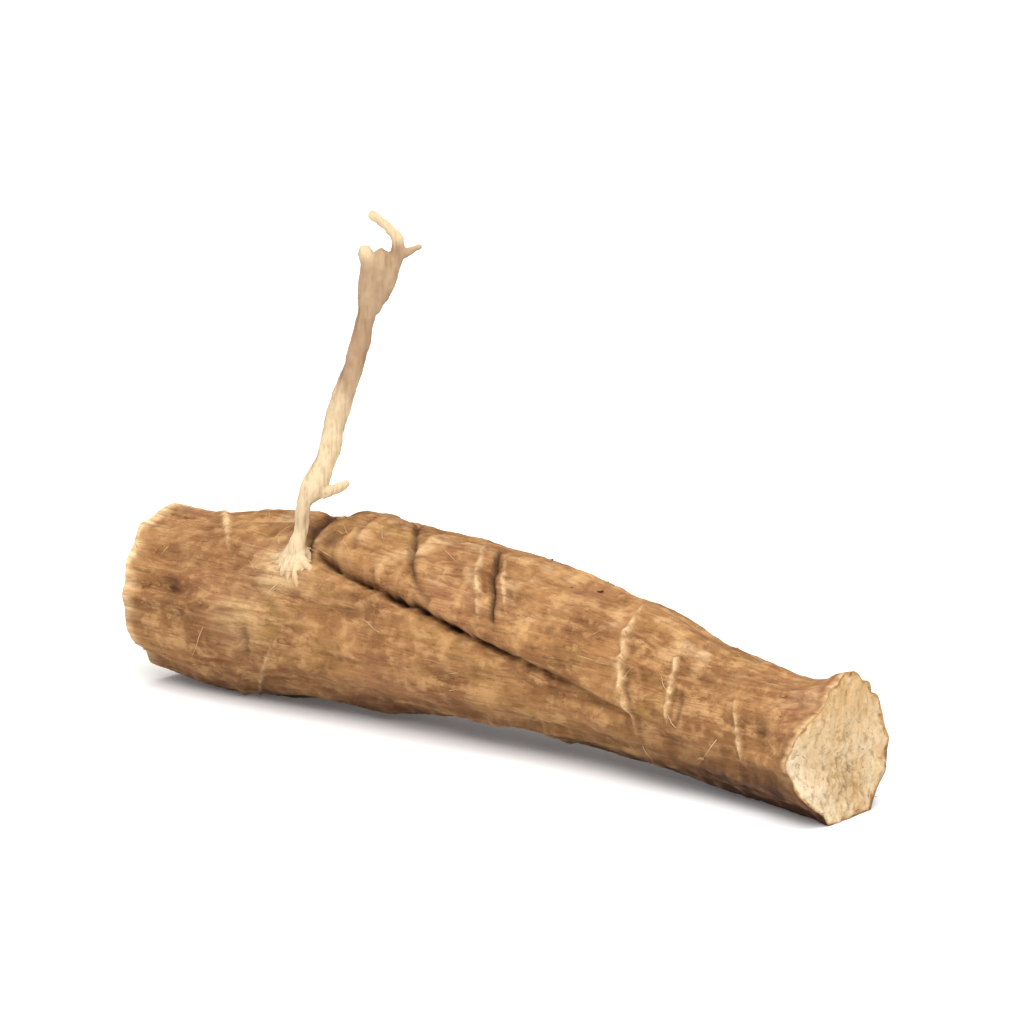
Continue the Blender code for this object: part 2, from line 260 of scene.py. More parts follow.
@dataclass(frozen=True)
class RootForm:
    """The root's own form: where its bark lies, before the fine relief.

    The radii are shares of the thickest, the gaps are heights above the floor, and the middle is how far the
    box's middle lies from the thick end's. A notch is its angle, half its width in degrees and its depth.
    """

    length: float = 0.060
    thickest_radius: float = 0.0063
    middle: tuple[float, float] = (0.0298059, 0.0008675)
    radii: Stations = (
        (0.00, 0.825), (0.05, 0.885), (0.115, 0.960), (0.18, 0.992), (0.25, 1.000), (0.32, 0.940),
        (0.385, 0.915), (0.455, 0.880), (0.52, 0.845), (0.59, 0.800), (0.66, 0.767), (0.725, 0.750),
        (0.79, 0.705), (0.86, 0.690), (0.93, 0.694), (1.00, 0.757),
    )
    gaps: Stations = (
        (0.00, 0.00080), (0.05, 0.00030), (0.10, -0.00012), (0.16, -0.00018), (0.25, 0.00045),
        (0.32, 0.00080), (0.385, 0.00095), (0.455, 0.00115), (0.52, 0.00130), (0.59, 0.00125),
        (0.66, 0.00110), (0.725, 0.00085), (0.79, 0.00058), (0.86, 0.00022), (0.93, -0.00010),
        (1.00, -0.00022),
    )
    bow: float = 0.0012
    seams: Stations = (
        (0.00, 34.0), (0.22, 37.0), (0.27, 42.0), (0.34, 51.0), (0.43, 61.0), (0.51, 72.0),
        (0.61, 81.0), (0.72, 92.0), (0.82, 98.0), (1.00, 100.0),
    )
    back_edges: Stations = ((0.00, -44.0), (0.30, -46.0), (0.60, -66.0), (1.00, -92.0))
    strand_start: float = 0.250
    strand_fade: float = 0.66
    strand_end: float = 0.82
    strand_height: float = 0.00050
    seam_depth: float = 0.00060
    seam_width: float = 0.00050
    shoulder: float = 0.020
    scars: tuple[Scar, ...] = (
        Scar(0.052, -14, 0.135, 40, 0.00024, 0.00080, 0.80, 0.20),
        Scar(0.335, -12, 0.398, 38, -0.00040, 0.00070, 0.0, 0.75),
        Scar(0.446, -4, 0.510, 56, 0.00034, 0.00065, 0.55, 0.15),
        Scar(0.476, 2, 0.528, 54, -0.00050, 0.00055, 0.0, 0.90),
        Scar(0.494, 8, 0.543, 50, 0.00024, 0.00060, 0.50, 0.15),
        Scar(0.692, 6, 0.738, 100, 0.00048, 0.00075, 0.95, 0.60, 0.15),
        Scar(0.774, 22, 0.790, 80, 0.00046, 0.00065, 1.00, 0.50, 0.55),
        Scar(0.878, 46, 0.907, 102, 0.00044, 0.00065, 0.62, 0.30),
        Scar(0.178, 102, 0.135, 160, 0.00036, 0.00150, 0.05, 0.15),
        Scar(0.230, 102, 0.160, 154, 0.00028, 0.00060, 0.60, 0.55),
        Scar(0.100, -35, 0.120, -120, 0.00030, 0.00080, 0.35),
        Scar(0.290, -62, 0.262, -155, 0.00036, 0.00080, 0.40),
        Scar(0.385, -92, 0.400, -168, -0.00030, 0.00070),
        Scar(0.475, -40, 0.500, -118, 0.00034, 0.00075, 0.45),
        Scar(0.640, -95, 0.615, -176, 0.00036, 0.00075, 0.45),
        Scar(0.735, -48, 0.715, -105, 0.00026, 0.00065, 0.55),
        Scar(0.830, -62, 0.852, -140, 0.00030, 0.00065, 0.50),
        Scar(0.585, 128, 0.600, 205, 0.00030, 0.00070, 0.30),
        Scar(0.925, -150, 0.915, -60, 0.00026, 0.00060, 0.40),
    )
    scar_share: float = 0.52
    scar_fade: float = 14.0
    scar_sharpness: tuple[float, float] = (0.50, 0.30)
    lumps: tuple[Lump, ...] = (
        Lump(0.320, 8, 0.00036, 0.0026),
        Lump(0.268, 30, -0.00060, 0.0011),
        Lump(0.545, 4, 0.00016, 0.0026),
        Lump(0.690, -8, 0.00018, 0.0026),
        Lump(0.068, 72, -0.00030, 0.0010),
        Lump(0.140, 70, 0.00022, 0.0018),
        Lump(0.927, 68, -0.00040, 0.0010),
        Lump(0.990, 6, 0.00040, 0.0018),
        Lump(0.430, 100, 0.00026, 0.0040),
        Lump(0.430, -84, 0.00060, 0.0022),
        Lump(0.205, -98, 0.00055, 0.0030),
        Lump(0.905, -62, 0.00034, 0.0020),
        Lump(0.560, -150, 0.00045, 0.0020),
    )
    root_scars: tuple[Lump, ...] = (
        Lump(0.365, -66, 0.00075, 0.00170),
        Lump(0.165, -58, 0.00060, 0.00150),
        Lump(0.600, -112, 0.00070, 0.00150),
        Lump(0.815, -70, 0.00055, 0.00125),
        Lump(0.330, 166, 0.00050, 0.00150),
        Lump(0.500, 140, 0.00050, 0.00140),
    )
    lump_noise: float = 0.00034
    furrow_depth: float = 0.00020
    furrows: int = 12
    rim_flare: float = 0.00022
    rim_width: float = 0.0014
    cut_slant: float = 0.0007
    notches: tuple[tuple[float, float, float], ...] = ((90.0, 30.0, 0.0018), (-54.0, 24.0, 0.0006))
    notch_ridge: float = 0.00035

    def radius(self, share: np.ndarray) -> np.ndarray:
        """The root's radius with nothing on it."""
        return self.thickest_radius * between(self.radii, share)

    def centre(self, share: np.ndarray) -> np.ndarray:
        """The middle of the root at shares of its length, as rows of x, y and z.

        Args:
            share: Shares of the length.

        Returns:
            The middles.
        """
        bow = self.bow * 4.0 * share * (1.0 - share)
        height = self.radius(share) + between(self.gaps, share)
        return np.column_stack((share * self.length - self.middle[0], bow - self.middle[1], height))

    def outward(self, angle: np.ndarray) -> np.ndarray:
        """The directions that point out of the root at angles from its top, as rows."""
        turn = np.radians(angle)
        return np.column_stack((np.zeros_like(turn), -np.sin(turn), np.cos(turn)))

    def way_out(self, angle: float) -> Vector:
        """The direction that points out of the root at one angle."""
        return Vector(self.outward(np.array([angle]))[0])

    def off_line(self, scar: Scar, share: np.ndarray, angle: np.ndarray) -> tuple[np.ndarray, np.ndarray]:
        """How far places are from a scar's line.

        Args:
            scar: The scar.
            share: Shares of the length.
            angle: Angles from the top.

        Returns:
            The distance along the root in metres, and how much of the scar is there, from 0 to 1.
        """
        half = abs(scar.last - scar.first) / 2.0
        off_middle = turned(angle, (scar.first + scar.last) / 2.0)
        line = (scar.start + scar.end) / 2.0
        line = line + (scar.end - scar.start) * off_middle / (scar.last - scar.first)
        there = 1.0 - smooth(half, half + self.scar_fade, np.abs(off_middle))
        return (share - line) * self.length, there

    def along_scar(self, scar: Scar, angle: np.ndarray) -> np.ndarray:
        """How strong a scar is along its line, about 1: weaker at its ends and uneven between them.

        Args:
            scar: The scar.
            angle: Angles from the top.

        Returns:
            The strength at each angle.
        """
        half = abs(scar.last - scar.first) / 2.0
        off_middle = turned(angle, (scar.first + scar.last) / 2.0)
        lower = off_middle * np.sign(scar.last - scar.first) / half
        line = np.column_stack((angle / 11.0, 0.0 * angle + 97.0 * scar.start, 0.0 * angle))
        ends = 1.0 - 0.55 * smooth(0.35, 1.0, np.abs(lower))
        heavier = 0.45 * scar.low_end * bell(lower - 0.7, 0.45)
        return np.clip(ends * (1.0 + 0.42 * Grain(57).at(line)) + heavier, 0.3, 1.5)

    def strand(self, share: np.ndarray, angle: np.ndarray) -> np.ndarray:
        """Height of the upper strand, with the seam along its lower edge and a crease where it starts.

        Args:
            share: Shares of the length.
            angle: Angles from the top.

        Returns:
            The height in metres.
        """
        arc = np.radians(self.radius(share))
        to_seam = turned(between(self.seams, share), angle) * arc
        to_back = turned(angle, between(self.back_edges, share)) * arc
        reach = smooth(self.strand_start - self.shoulder, self.strand_start + self.shoulder, share)
        reach = reach * (1.0 - smooth(self.strand_fade, self.strand_end, share))
        over = smooth(-self.seam_width, self.seam_width, to_seam)
        over = over * smooth(-self.seam_width * 2.0, self.seam_width * 4.0, to_back)
        is_open = smooth(0.22, 0.30, share) * (1.0 - 0.7 * smooth(0.60, 0.78, share))
        groove = self.seam_depth * is_open * bell(to_seam + 0.5 * self.seam_width, self.seam_width)
        along = (share - self.strand_start + self.shoulder) * self.length
        crease = 0.7 * self.seam_depth * bell(along, 1.5 * self.seam_width)
        return self.strand_height * reach * over - groove - crease * over

    def unevenness(self, share: np.ndarray, angle: np.ndarray) -> np.ndarray:
        """Height of the slow unevenness and the lengthwise furrows.

        Args:
            share: Shares of the length.
            angle: Angles from the top.

        Returns:
            The height in metres.
        """
        around = self.outward(angle)
        slow = self._noise(share * 7.0, around * 1.3, 0.0)
        drift = self._noise(share * 5.0, around * 1.5, 3.0)
        strength = 0.7 + self._noise(share * 9.0, around * 2.0, 7.0)
        furrow = strength * np.cos(np.radians(self.furrows * angle) + 4.0 * drift)
        return self.lump_noise * slow + self.furrow_depth * furrow

    def notch(self, angle: np.ndarray) -> np.ndarray:
        """How far the bark is torn back round the thin end, in metres."""
        return sum(depth * bell(turned(angle, middle), width) for middle, width, depth in self.notches)

    def height(self, share: np.ndarray, angle: np.ndarray) -> np.ndarray:
        """How far the bark stands outside the plain radius.

        Args:
            share: Shares of the length.
            angle: Angles from the top.

        Returns:
            The height in metres.
        """
        total = self.strand(share, angle) + self.unevenness(share, angle)
        for scar in self.scars:
            along, there = self.off_line(scar, share, angle)
            uneven = self.along_scar(scar, angle)
            width = scar.width * uneven * np.where(along < 0.0, *self.scar_sharpness)
            rise = scar.rise * (self.scar_share if scar.rise > 0.0 else 1.0)
            total += rise * there * (0.35 + 0.65 * uneven) * bell(along, width)
        for lump in self.lumps:
            total += lump.rise * bell(self.distance(lump, share, angle), lump.radius)
        for mark in self.root_scars:
            away = self.distance(mark, share, angle)
            total += mark.rise * (bell(away, mark.radius) - 0.8 * bell(away, 0.5 * mark.radius))
        from_end = np.minimum(share, 1.0 - share) * self.length
        total += self.rim_flare * bell(from_end, self.rim_width)
        torn = np.minimum(1.0, self.notch(angle) / self.notches[0][2])
        return total + self.notch_ridge * torn * smooth(0.86, 1.0, share)

    def distance(self, lump: Lump, share: np.ndarray, angle: np.ndarray) -> np.ndarray:
        """Distance over the bark from a lump's middle, in metres."""
        arc = np.radians(self.radius(share))
        return np.hypot((share - lump.share) * self.length, turned(angle, lump.angle) * arc)

    def skin(self, share: np.ndarray, angle: np.ndarray, proud: np.ndarray | float = 0.0) -> np.ndarray:
        """Points of the bark, flat where the root rests.

        Args:
            share: Shares of the length.
            angle: Angles from the top.
            proud: How far each point stands out of the form, in metres.

        Returns:
            The points as rows of x, y and z.
        """
        radius = self.radius(share) + self.height(share, angle) + proud
        points = self.centre(share) + self.outward(angle) * radius[:, None]
        points[:, 2] = np.maximum(points[:, 2], 0.0)
        points[:, 0] -= self.cut_slant * np.cos(np.radians(angle)) * (1.0 - smooth(0.0, 0.10, share))
        thin_cut = self.cut_slant * np.sin(np.radians(angle)) - self.notch(angle)
        points[:, 0] += thin_cut * smooth(0.90, 1.0, share)
        return points

    def point(self, share: float, angle: float) -> Vector:
        """One point of the bark."""
        return Vector(self.skin(np.array([share]), np.array([angle]))[0])

    @staticmethod
    def _noise(along: np.ndarray, around: np.ndarray, lift: float) -> np.ndarray:
        """Blender's own noise at places on a tube."""
        rows = zip(along, around[:, 1], around[:, 2] + lift)
        return np.array([noise.noise(Vector(row)) for row in rows])


@dataclass(frozen=True)
class BarkRelief:
    """The fine relief of the dry bark: wrinkles, rings, pits, the crack of the seam and the scars' edges,
    with the bark's looks, among them painted shade and highlights.
    """

    wrinkle: float = 0.000075
    ring: float = 0.000036
    grain: float = 0.000036
    pit: float = 0.000060
    crack_depth: float = 0.00055
    crack_width: float = 0.00015
    crack_wander: tuple[float, float] = (0.00018, 0.00015)
    faint_width: float = 0.00030
    lip: float = 0.00010
    scar_wobble: float = 0.00008
    scar_edge: float = 0.00005
    rim_chip: float = 0.00007
    foot: Lump = Lump(0.226, 52.0, 0.0, 0.0019)
    foot_paleness: float = 0.62
    smear: Lump = Lump(0.180, 86.0, 0.0, 0.010)
    smear_paleness: float = 0.22
    rim_width: float = 0.00070
    # Painted highlight in patches along the top of the bark.
    painted_top_highlight: float = 0.34
    creases: tuple[Crease, ...] = (
        Crease(((0.251, 50.0), (0.238, 32.0), (0.224, 16.0), (0.215, -16.0)), 0.00030, 0.00042, 0.95),
        Crease(((0.262, 40.0), (0.276, 44.0), (0.290, 46.0)), 0.00020, 0.00026, 0.85),
        Crease(((0.286, 4.0), (0.300, 20.0), (0.312, 34.0)), 0.00010, 0.00024, 0.45),
        Crease(((0.398, 40.0), (0.418, 50.0), (0.440, 56.0)), 0.00014, 0.00026, 0.50),
        Crease(((0.186, 95.0), (0.190, 101.0), (0.186, 108.0)), 0.00012, 0.00030, 0.55),
        Crease(((0.800, 62.0), (0.806, 74.0), (0.804, 84.0)), 0.00012, 0.00026, 0.55),
        Crease(((0.120, 80.0), (0.150, 84.0), (0.172, 85.0)), 0.00006, 0.00028, 0.22),
        Crease(((0.740, -128.0), (0.748, -150.0), (0.742, 175.0)), 0.00016, 0.00030, 0.50),
        Crease(((0.520, -60.0), (0.560, -78.0), (0.585, -90.0)), 0.00018, 0.00030, 0.60),
        Crease(((0.070, -100.0), (0.085, -130.0), (0.075, -165.0)), 0.00014, 0.00030, 0.45),
    )

    def carve(self, form: RootForm, share: np.ndarray, angle: np.ndarray) -> Marks:
        """Reads the relief at places on the bark.

        Args:
            form: The root's form.
            share: Shares of the length.
            angle: Angles from the top.

        Returns:
            The relief and the looks that go with it.
        """
        points = self._places(form, share, angle)
        stretched = points * (0.16, 0.95, 0.95)
        wrinkle = 1.0 - 2.2 * np.abs(Grain(11).at(stretched + 0.3 * Grain(12).at(points * 0.4)[:, None]))
        fine = Grain(14).at(points * (0.30, 2.4, 2.4))
        knotty = bell(share - 0.34, 0.075) * smooth(-40.0, -15.0, angle) * (1.0 - smooth(40.0, 62.0, angle))
        ringed = 0.45 + 0.5 * smooth(0.22, 0.34, share) + 1.6 * knotty
        ring = Grain(17).at(points * (1.15, 0.20, 0.20)) * ringed
        grain = Grain(21).rough(points * 1.35)
        pit = smooth(0.42, 0.66, Grain(31).at(points * 1.3))
        warm = 0.5 + 0.5 * Grain(41).rough(points * 0.17, 2)
        rise = self.wrinkle * wrinkle + 0.3 * self.wrinkle * fine + self.ring * ring
        rise += self.grain * grain * (1.0 + 0.8 * knotty) - self.pit * pit
        crest = 0.38 * wrinkle + 0.24 * fine + 0.34 * ring + 0.48 * grain
        # Painted shade in the pits.
        hollow = 0.22 * pit
        rise, hollow = self._seam(form, share, angle, rise, hollow)
        # Each crease is cut in, with painted shade along it.
        for crease in self.creases:
            depth = self._crease(form, crease, share, angle)
            rise = rise - crease.depth * depth
            hollow = np.maximum(hollow, crease.shade * depth)
        scar, shade, edge = self._scars(form, share, angle)
        rise += self.scar_edge * edge
        hollow = np.maximum(hollow, shade)
        hollow, pale = self._spots(form, share, angle, hollow)
        return Marks(rise, crest, np.clip(hollow, 0.0, 1.0), scar, warm, pale)

    @staticmethod
    def _places(form: RootForm, share: np.ndarray, angle: np.ndarray) -> np.ndarray:
        """The places on a plain tube in millimetres, where noise is read."""
        around = form.outward(angle) * (form.radius(share) * 1000.0)[:, None]
        return around + np.column_stack((share * form.length * 1000.0, share * 0.0, share * 0.0))

    def _seam(
        self, form: RootForm, share: np.ndarray, angle: np.ndarray, rise: np.ndarray, hollow: np.ndarray
    ) -> tuple[np.ndarray, np.ndarray]:
        """Adds the narrow crack of the seam, here wide and there closed, with painted shade in it, and the
        lip over it.

        Args:
            form: The root's form.
            share: Shares of the length.
            angle: Angles from the top.
            rise: The relief so far.
            hollow: The painted shade so far.

        Returns:
            The relief and the painted shade with the crack in them.
        """
        arc = np.radians(form.radius(share))
        line = np.column_stack((share * 60.0, share * 0.0, share * 0.0))
        wander = self.crack_wander[0] * Grain(51).at(line * 0.45)
        wander = wander + self.crack_wander[1] * Grain(52).at(line * 1.3)
        to_seam = turned(between(form.seams, share), angle) * arc + 0.5 * form.seam_width + wander
        is_open = smooth(0.262, 0.30, share) * (1.0 - smooth(0.53, 0.65, share))
        beads = Grain(53).at(line * 0.62) + 0.7 * Grain(54).at(line * 1.5)
        gape = is_open * (0.42 + 0.62 * bell(share - 0.43, 0.09) + 0.85 * beads)
        gape = np.clip(gape, 0.0, 1.25)
        # The crack, cut in and filled with painted shade.
        crack = gape * bell(to_seam, self.crack_width * (0.6 + 0.75 * gape))
        lip = is_open * bell(to_seam - 2.6 * self.crack_width, 1.5 * self.crack_width)
        # A faint line of painted shade goes on along the seam where it has closed.
        faint = smooth(0.52, 0.60, share) * (1.0 - smooth(0.66, 0.76, share))
        faint = faint * bell(to_seam, self.faint_width)
        rise = rise - self.crack_depth * crack + self.lip * lip
        return rise, np.maximum(hollow, np.maximum(np.clip(1.2 * crack, 0.0, 1.0), 0.30 * faint))

    @staticmethod
    def _crease(form: RootForm, crease: Crease, share: np.ndarray, angle: np.ndarray) -> np.ndarray:
        """How much of a crease is at each place, from 0 to 1.

        Args:
            form: The root's form.
            crease: The crease.
            share: Shares of the length.
            angle: Angles from the top.

        Returns:
            The share at each place.
        """
        arc = np.radians(form.radius(share))
        nearest = np.full_like(share, 1.0)
        for (share_a, angle_a), (share_b, angle_b) in itertools.pairwise(crease.line):
            x, y = (share - share_a) * form.length, turned(angle, angle_a) * arc
            way_x, way_y = (share_b - share_a) * form.length, turned(np.array([angle_b]), angle_a)[0] * arc
            u = np.clip((x * way_x + y * way_y) / (way_x**2 + way_y**2), 0.0, 1.0)
            nearest = np.minimum(nearest, np.hypot(x - u * way_x, y - u * way_y))
        rough = 1.0 + 0.45 * Grain(55).at(BarkRelief._places(form, share, angle) * 1.2)
        return bell(nearest, crease.width * np.clip(rough, 0.4, 1.6))

    def _scars(
        self, form: RootForm, share: np.ndarray, angle: np.ndarray
    ) -> tuple[np.ndarray, np.ndarray, np.ndarray]:
        """Paleness, painted shade and sharp edge of the scars and creases; the paleness is partly a painted
        highlight.

        Args:
            form: The root's form.
            share: Shares of the length.
            angle: Angles from the top.

        Returns:
            The three, at each place.
        """
        scar, shade, edge = np.zeros_like(share), np.zeros_like(share), np.zeros_like(share)
        places = self._places(form, share, angle)
        patchy = 0.85 + 0.60 * Grain(61).at(places) + 0.45 * Grain(64).at(places * 2.6)
        patchy = np.clip(patchy, 0.15, 1.4)
        wobble = self.scar_wobble * (Grain(62).at(places * 0.9) + Grain(63).at(places * 2.4))
        for line in form.scars:
            along, there = form.off_line(line, share, angle)
            wavy = along + wobble
            # A crease gets only painted shade along it.
            if line.rise < 0.0:
                shade = np.maximum(shade, line.shade * there * bell(wavy, 0.50 * line.width))
                continue
            half = abs(line.last - line.first) / 2.0
            lower = turned(angle, (line.first + line.last) / 2.0) * np.sign(line.last - line.first) / half
            uneven = form.along_scar(line, angle)
            weight = there * uneven * np.clip(1.0 - line.low_end * (0.5 - 0.5 * lower), 0.0, 1.0)
            # Pale scar tissue, drawn a little towards the thick end's side of the line, partly a painted
            # highlight there.
            pale = 1.15 * line.paleness * weight * patchy * bell(wavy + 0.00006, 0.34 * uneven * line.width)
            scar = np.maximum(scar, pale)
            # Painted shade beside each raised scar on its thin end's side, strongest towards its second
            # place.
            behind = bell(wavy - 0.62 * line.width, 0.34 * line.width)
            shade = np.maximum(shade, line.shade * weight * behind * smooth(-0.6, 0.5, lower))
            edge += there * patchy * (bell(wavy, 0.26 * line.width) - 0.6 * behind)
        return np.clip(scar, 0.0, 1.0), shade, edge

    def _spots(
        self, form: RootForm, share: np.ndarray, angle: np.ndarray, hollow: np.ndarray
    ) -> tuple[np.ndarray, np.ndarray]:
        """Painted shade in the hollows and underneath, and pale bark at the rootlet's foot and the rims, with
        painted highlight on the thick rim's upper side and in patches along the top.

        Args:
            form: The root's form.
            share: Shares of the length.
            angle: Angles from the top.
            hollow: The painted shade so far.

        Returns:
            The painted shade and the paleness.
        """
        # Painted shade in the dents and in the middles of the side roots' scars.
        for lump in form.lumps:
            if lump.rise < 0.0:
                spot = bell(form.distance(lump, share, angle), 0.70 * lump.radius)
                hollow = np.maximum(hollow, 0.60 * spot)
        for mark in form.root_scars:
            spot = bell(form.distance(mark, share, angle), 0.42 * mark.radius)
            hollow = np.maximum(hollow, 0.55 * spot)
        places = self._places(form, share, angle)
        ragged = 1.0 + 0.5 * Grain(65).rough(places * 0.8, 2)
        near_foot = bell(form.distance(self.foot, share, angle), self.foot.radius * np.clip(ragged, 0.3, 1.9))
        pale = self.foot_paleness * near_foot
        away = np.hypot((share - self.smear.share) * 0.30, turned(angle, self.smear.angle) / 90.0 * 0.05)
        pale = np.maximum(pale, self.smear_paleness * bell(away, self.smear.radius))
        # The thick end's pale rim, brighter towards the upper front as painted light.
        lit = 0.42 + 0.58 * bell(turned(angle, 34.0), 66.0)
        from_thick, from_thin = share * form.length, (1.0 - share) * form.length
        rim = np.clip(ragged, 0.4, 1.7) * self.rim_width
        pale = np.maximum(pale, 0.95 * lit * bell(from_thick, rim))
        # Painted shade on the underside, reaching higher and darker towards the thin end.
        near_end = smooth(0.60, 0.90, share)
        below = np.abs(turned(angle, 0.0))
        under = smooth(102.0, 142.0, below + 20.0 * near_end) * (0.36 + 0.50 * near_end)
        under = under + 0.34 * smooth(134.0, 158.0, below)
        hollow = np.maximum(hollow, under * np.clip(ragged, 0.5, 1.2))
        # Painted highlight in patches along the top.
        top_highlight = bell(turned(angle, 12.0), 30.0) * smooth(0.05, 0.75, Grain(66).rough(places * 0.42, 2))
        pale = np.maximum(pale, self.painted_top_highlight * top_highlight)
        thin_rim = 0.45 * bell(from_thin, 0.6 * rim) * (1.0 - smooth(84.0, 112.0, below))
        return hollow, np.maximum(pale, thin_rim)


# Working in Blender


def lay_down_tools() -> None:
    """Leaves edit mode and deselects everything."""
    if bpy.context.mode != "OBJECT":
        bpy.ops.object.mode_set(mode="OBJECT")
    bpy.ops.object.select_all(action="DESELECT")


def take_up(piece: bpy.types.Object) -> None:
    """Makes a piece the only selected and active one.

    Args:
        piece: The piece.
    """
    lay_down_tools()
    piece.select_set(True)
    bpy.context.view_layer.objects.active = piece


def settle(piece: bpy.types.Object) -> None:
    """Applies a piece's place, turn and scale to its mesh."""
    take_up(piece)
    bpy.ops.object.transform_apply(location=True, rotation=True, scale=True)


def apply_modifier(piece: bpy.types.Object, kind: str, **settings: object) -> None:
    """Adds a modifier to a piece and applies it.

    Args:
        piece: The piece.
        kind: Blender's name for the modifier's type.
        **settings: The modifier's settings.
    """
    take_up(piece)
    modifier = piece.modifiers.new(kind.lower(), kind)
    for name, value in settings.items():
        setattr(modifier, name, value)
    bpy.ops.object.modifier_apply(modifier=modifier.name)


def corners_of(piece: bpy.types.Object) -> np.ndarray:
    """A mesh's vertices as rows of x, y and z.

    Args:
        piece: The piece.

    Returns:
        One row for each vertex.
    """
    flat = np.empty(len(piece.data.vertices) * 3)
    piece.data.vertices.foreach_get("co", flat)
    return flat.reshape(-1, 3)


def move_corners(piece: bpy.types.Object, points: np.ndarray) -> None:
    """Moves a mesh's vertices to the points."""
    piece.data.vertices.foreach_set("co", points.astype(np.float32).ravel())
    piece.data.update()


def keep_measure(piece: bpy.types.Object, look: Look, values: np.ndarray) -> None:
    """Keeps one measure for each vertex, for the finish to read."""
    attribute = piece.data.attributes.new(look.value, "FLOAT", "POINT")
    attribute.data.foreach_set("value", values.astype(np.float32))


def finish_piece(piece: bpy.types.Object, finish: bpy.types.Material, angle: float = 60.0) -> None:
    """Gives a piece its material and shading, and lets it ride on the root's body.

    Args:
        piece: The piece.
        finish: Its material.
        angle: The sharpest angle in degrees that is still shaded smooth.
    """
    piece.data.materials.clear()
    piece.data.materials.append(finish)
    take_up(piece)
    bpy.ops.object.shade_smooth_by_angle(angle=math.radians(angle))
    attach(piece, BODY)
    log.info("%s: %d faces", piece.name, len(piece.data.polygons))


def grow_twig(
    name: str, line: Iterable[tuple[Sequence[float], float]], base: Vector, thickness: float, sides: int
) -> bpy.types.Object:
    """Extrudes a round twig along a smooth line.

    Args:
        name: The twig's name.
        line: Points from the base, each with a radius as a share of the thickness.
        base: Where the line starts.
        thickness: The radius at a share of 1.
        sides: How many sides it has.

    Returns:
        The twig, with a closed tip.
    """
    rows = list(line)
    knots = np.linspace(0.0, 1.0, len(rows))
    steps = np.linspace(0.0, 1.0, 3 * (len(rows) - 1) + 1)
    path = np.column_stack(
        [between(tuple(zip(knots, (row[0][axis] for row in rows))), steps) for axis in range(3)]
    )
    shares = np.interp(steps, knots, [row[1] for row in rows])
    lay_down_tools()
    bpy.ops.mesh.primitive_circle_add(
        vertices=sides, radius=thickness * shares[0], fill_type="NGON", location=base + Vector(path[0])
    )
    twig = bpy.context.object
    twig.name = name
    settle(twig)
    ahead = Vector(path[1] - path[0]).normalized()
    face_ring(twig, Vector((0.0, 0.0, 1.0)), ahead, base + Vector(path[0]), 1.0)
    for i in range(1, len(path)):
        spot = base + Vector(path[i])
        bpy.ops.mesh.extrude_region_move(
            TRANSFORM_OT_translate={"value": tuple(Vector(path[i] - path[i - 1]))}
        )
        after = Vector(path[min(i + 1, len(path) - 1)] - path[i - 1]).normalized()
        face_ring(twig, ahead, after, spot, shares[i] / shares[i - 1])
        ahead = after
    bpy.ops.mesh.extrude_region_move(
        TRANSFORM_OT_translate={"value": tuple(ahead * thickness * shares[-1] * 0.6)}
    )
    bpy.ops.mesh.merge(type="CENTER")
    bpy.ops.mesh.select_all(action="SELECT")
    bpy.ops.mesh.normals_make_consistent(inside=False)
    bpy.ops.object.mode_set(mode="OBJECT")
    return twig


def face_ring(twig: bpy.types.Object, was: Vector, now: Vector, spot: Vector, share: float) -> None:
    """Turns the selected ring to face along the twig, and makes it thinner or thicker.

    Args:
        twig: The twig.
        was: The way that the ring faces.
        now: The way that it shall face.
        spot: The ring's middle.
        share: How wide it becomes, as a share of its width.
    """
    if bpy.context.mode != "EDIT_MESH":
        take_up(twig)
        bpy.ops.object.mode_set(mode="EDIT")
        bpy.ops.mesh.select_all(action="SELECT")
    bpy.ops.transform.resize(value=(share, share, share), center_override=spot)
    turn = was.rotation_difference(now).to_matrix().to_4x4()
    place = Matrix.Translation(spot) @ turn @ Matrix.Translation(-spot)
    mesh = bmesh.from_edit_mesh(twig.data)
    bmesh.ops.transform(mesh, matrix=place, verts=[vert for vert in mesh.verts if vert.select])
    bmesh.update_edit_mesh(twig.data)


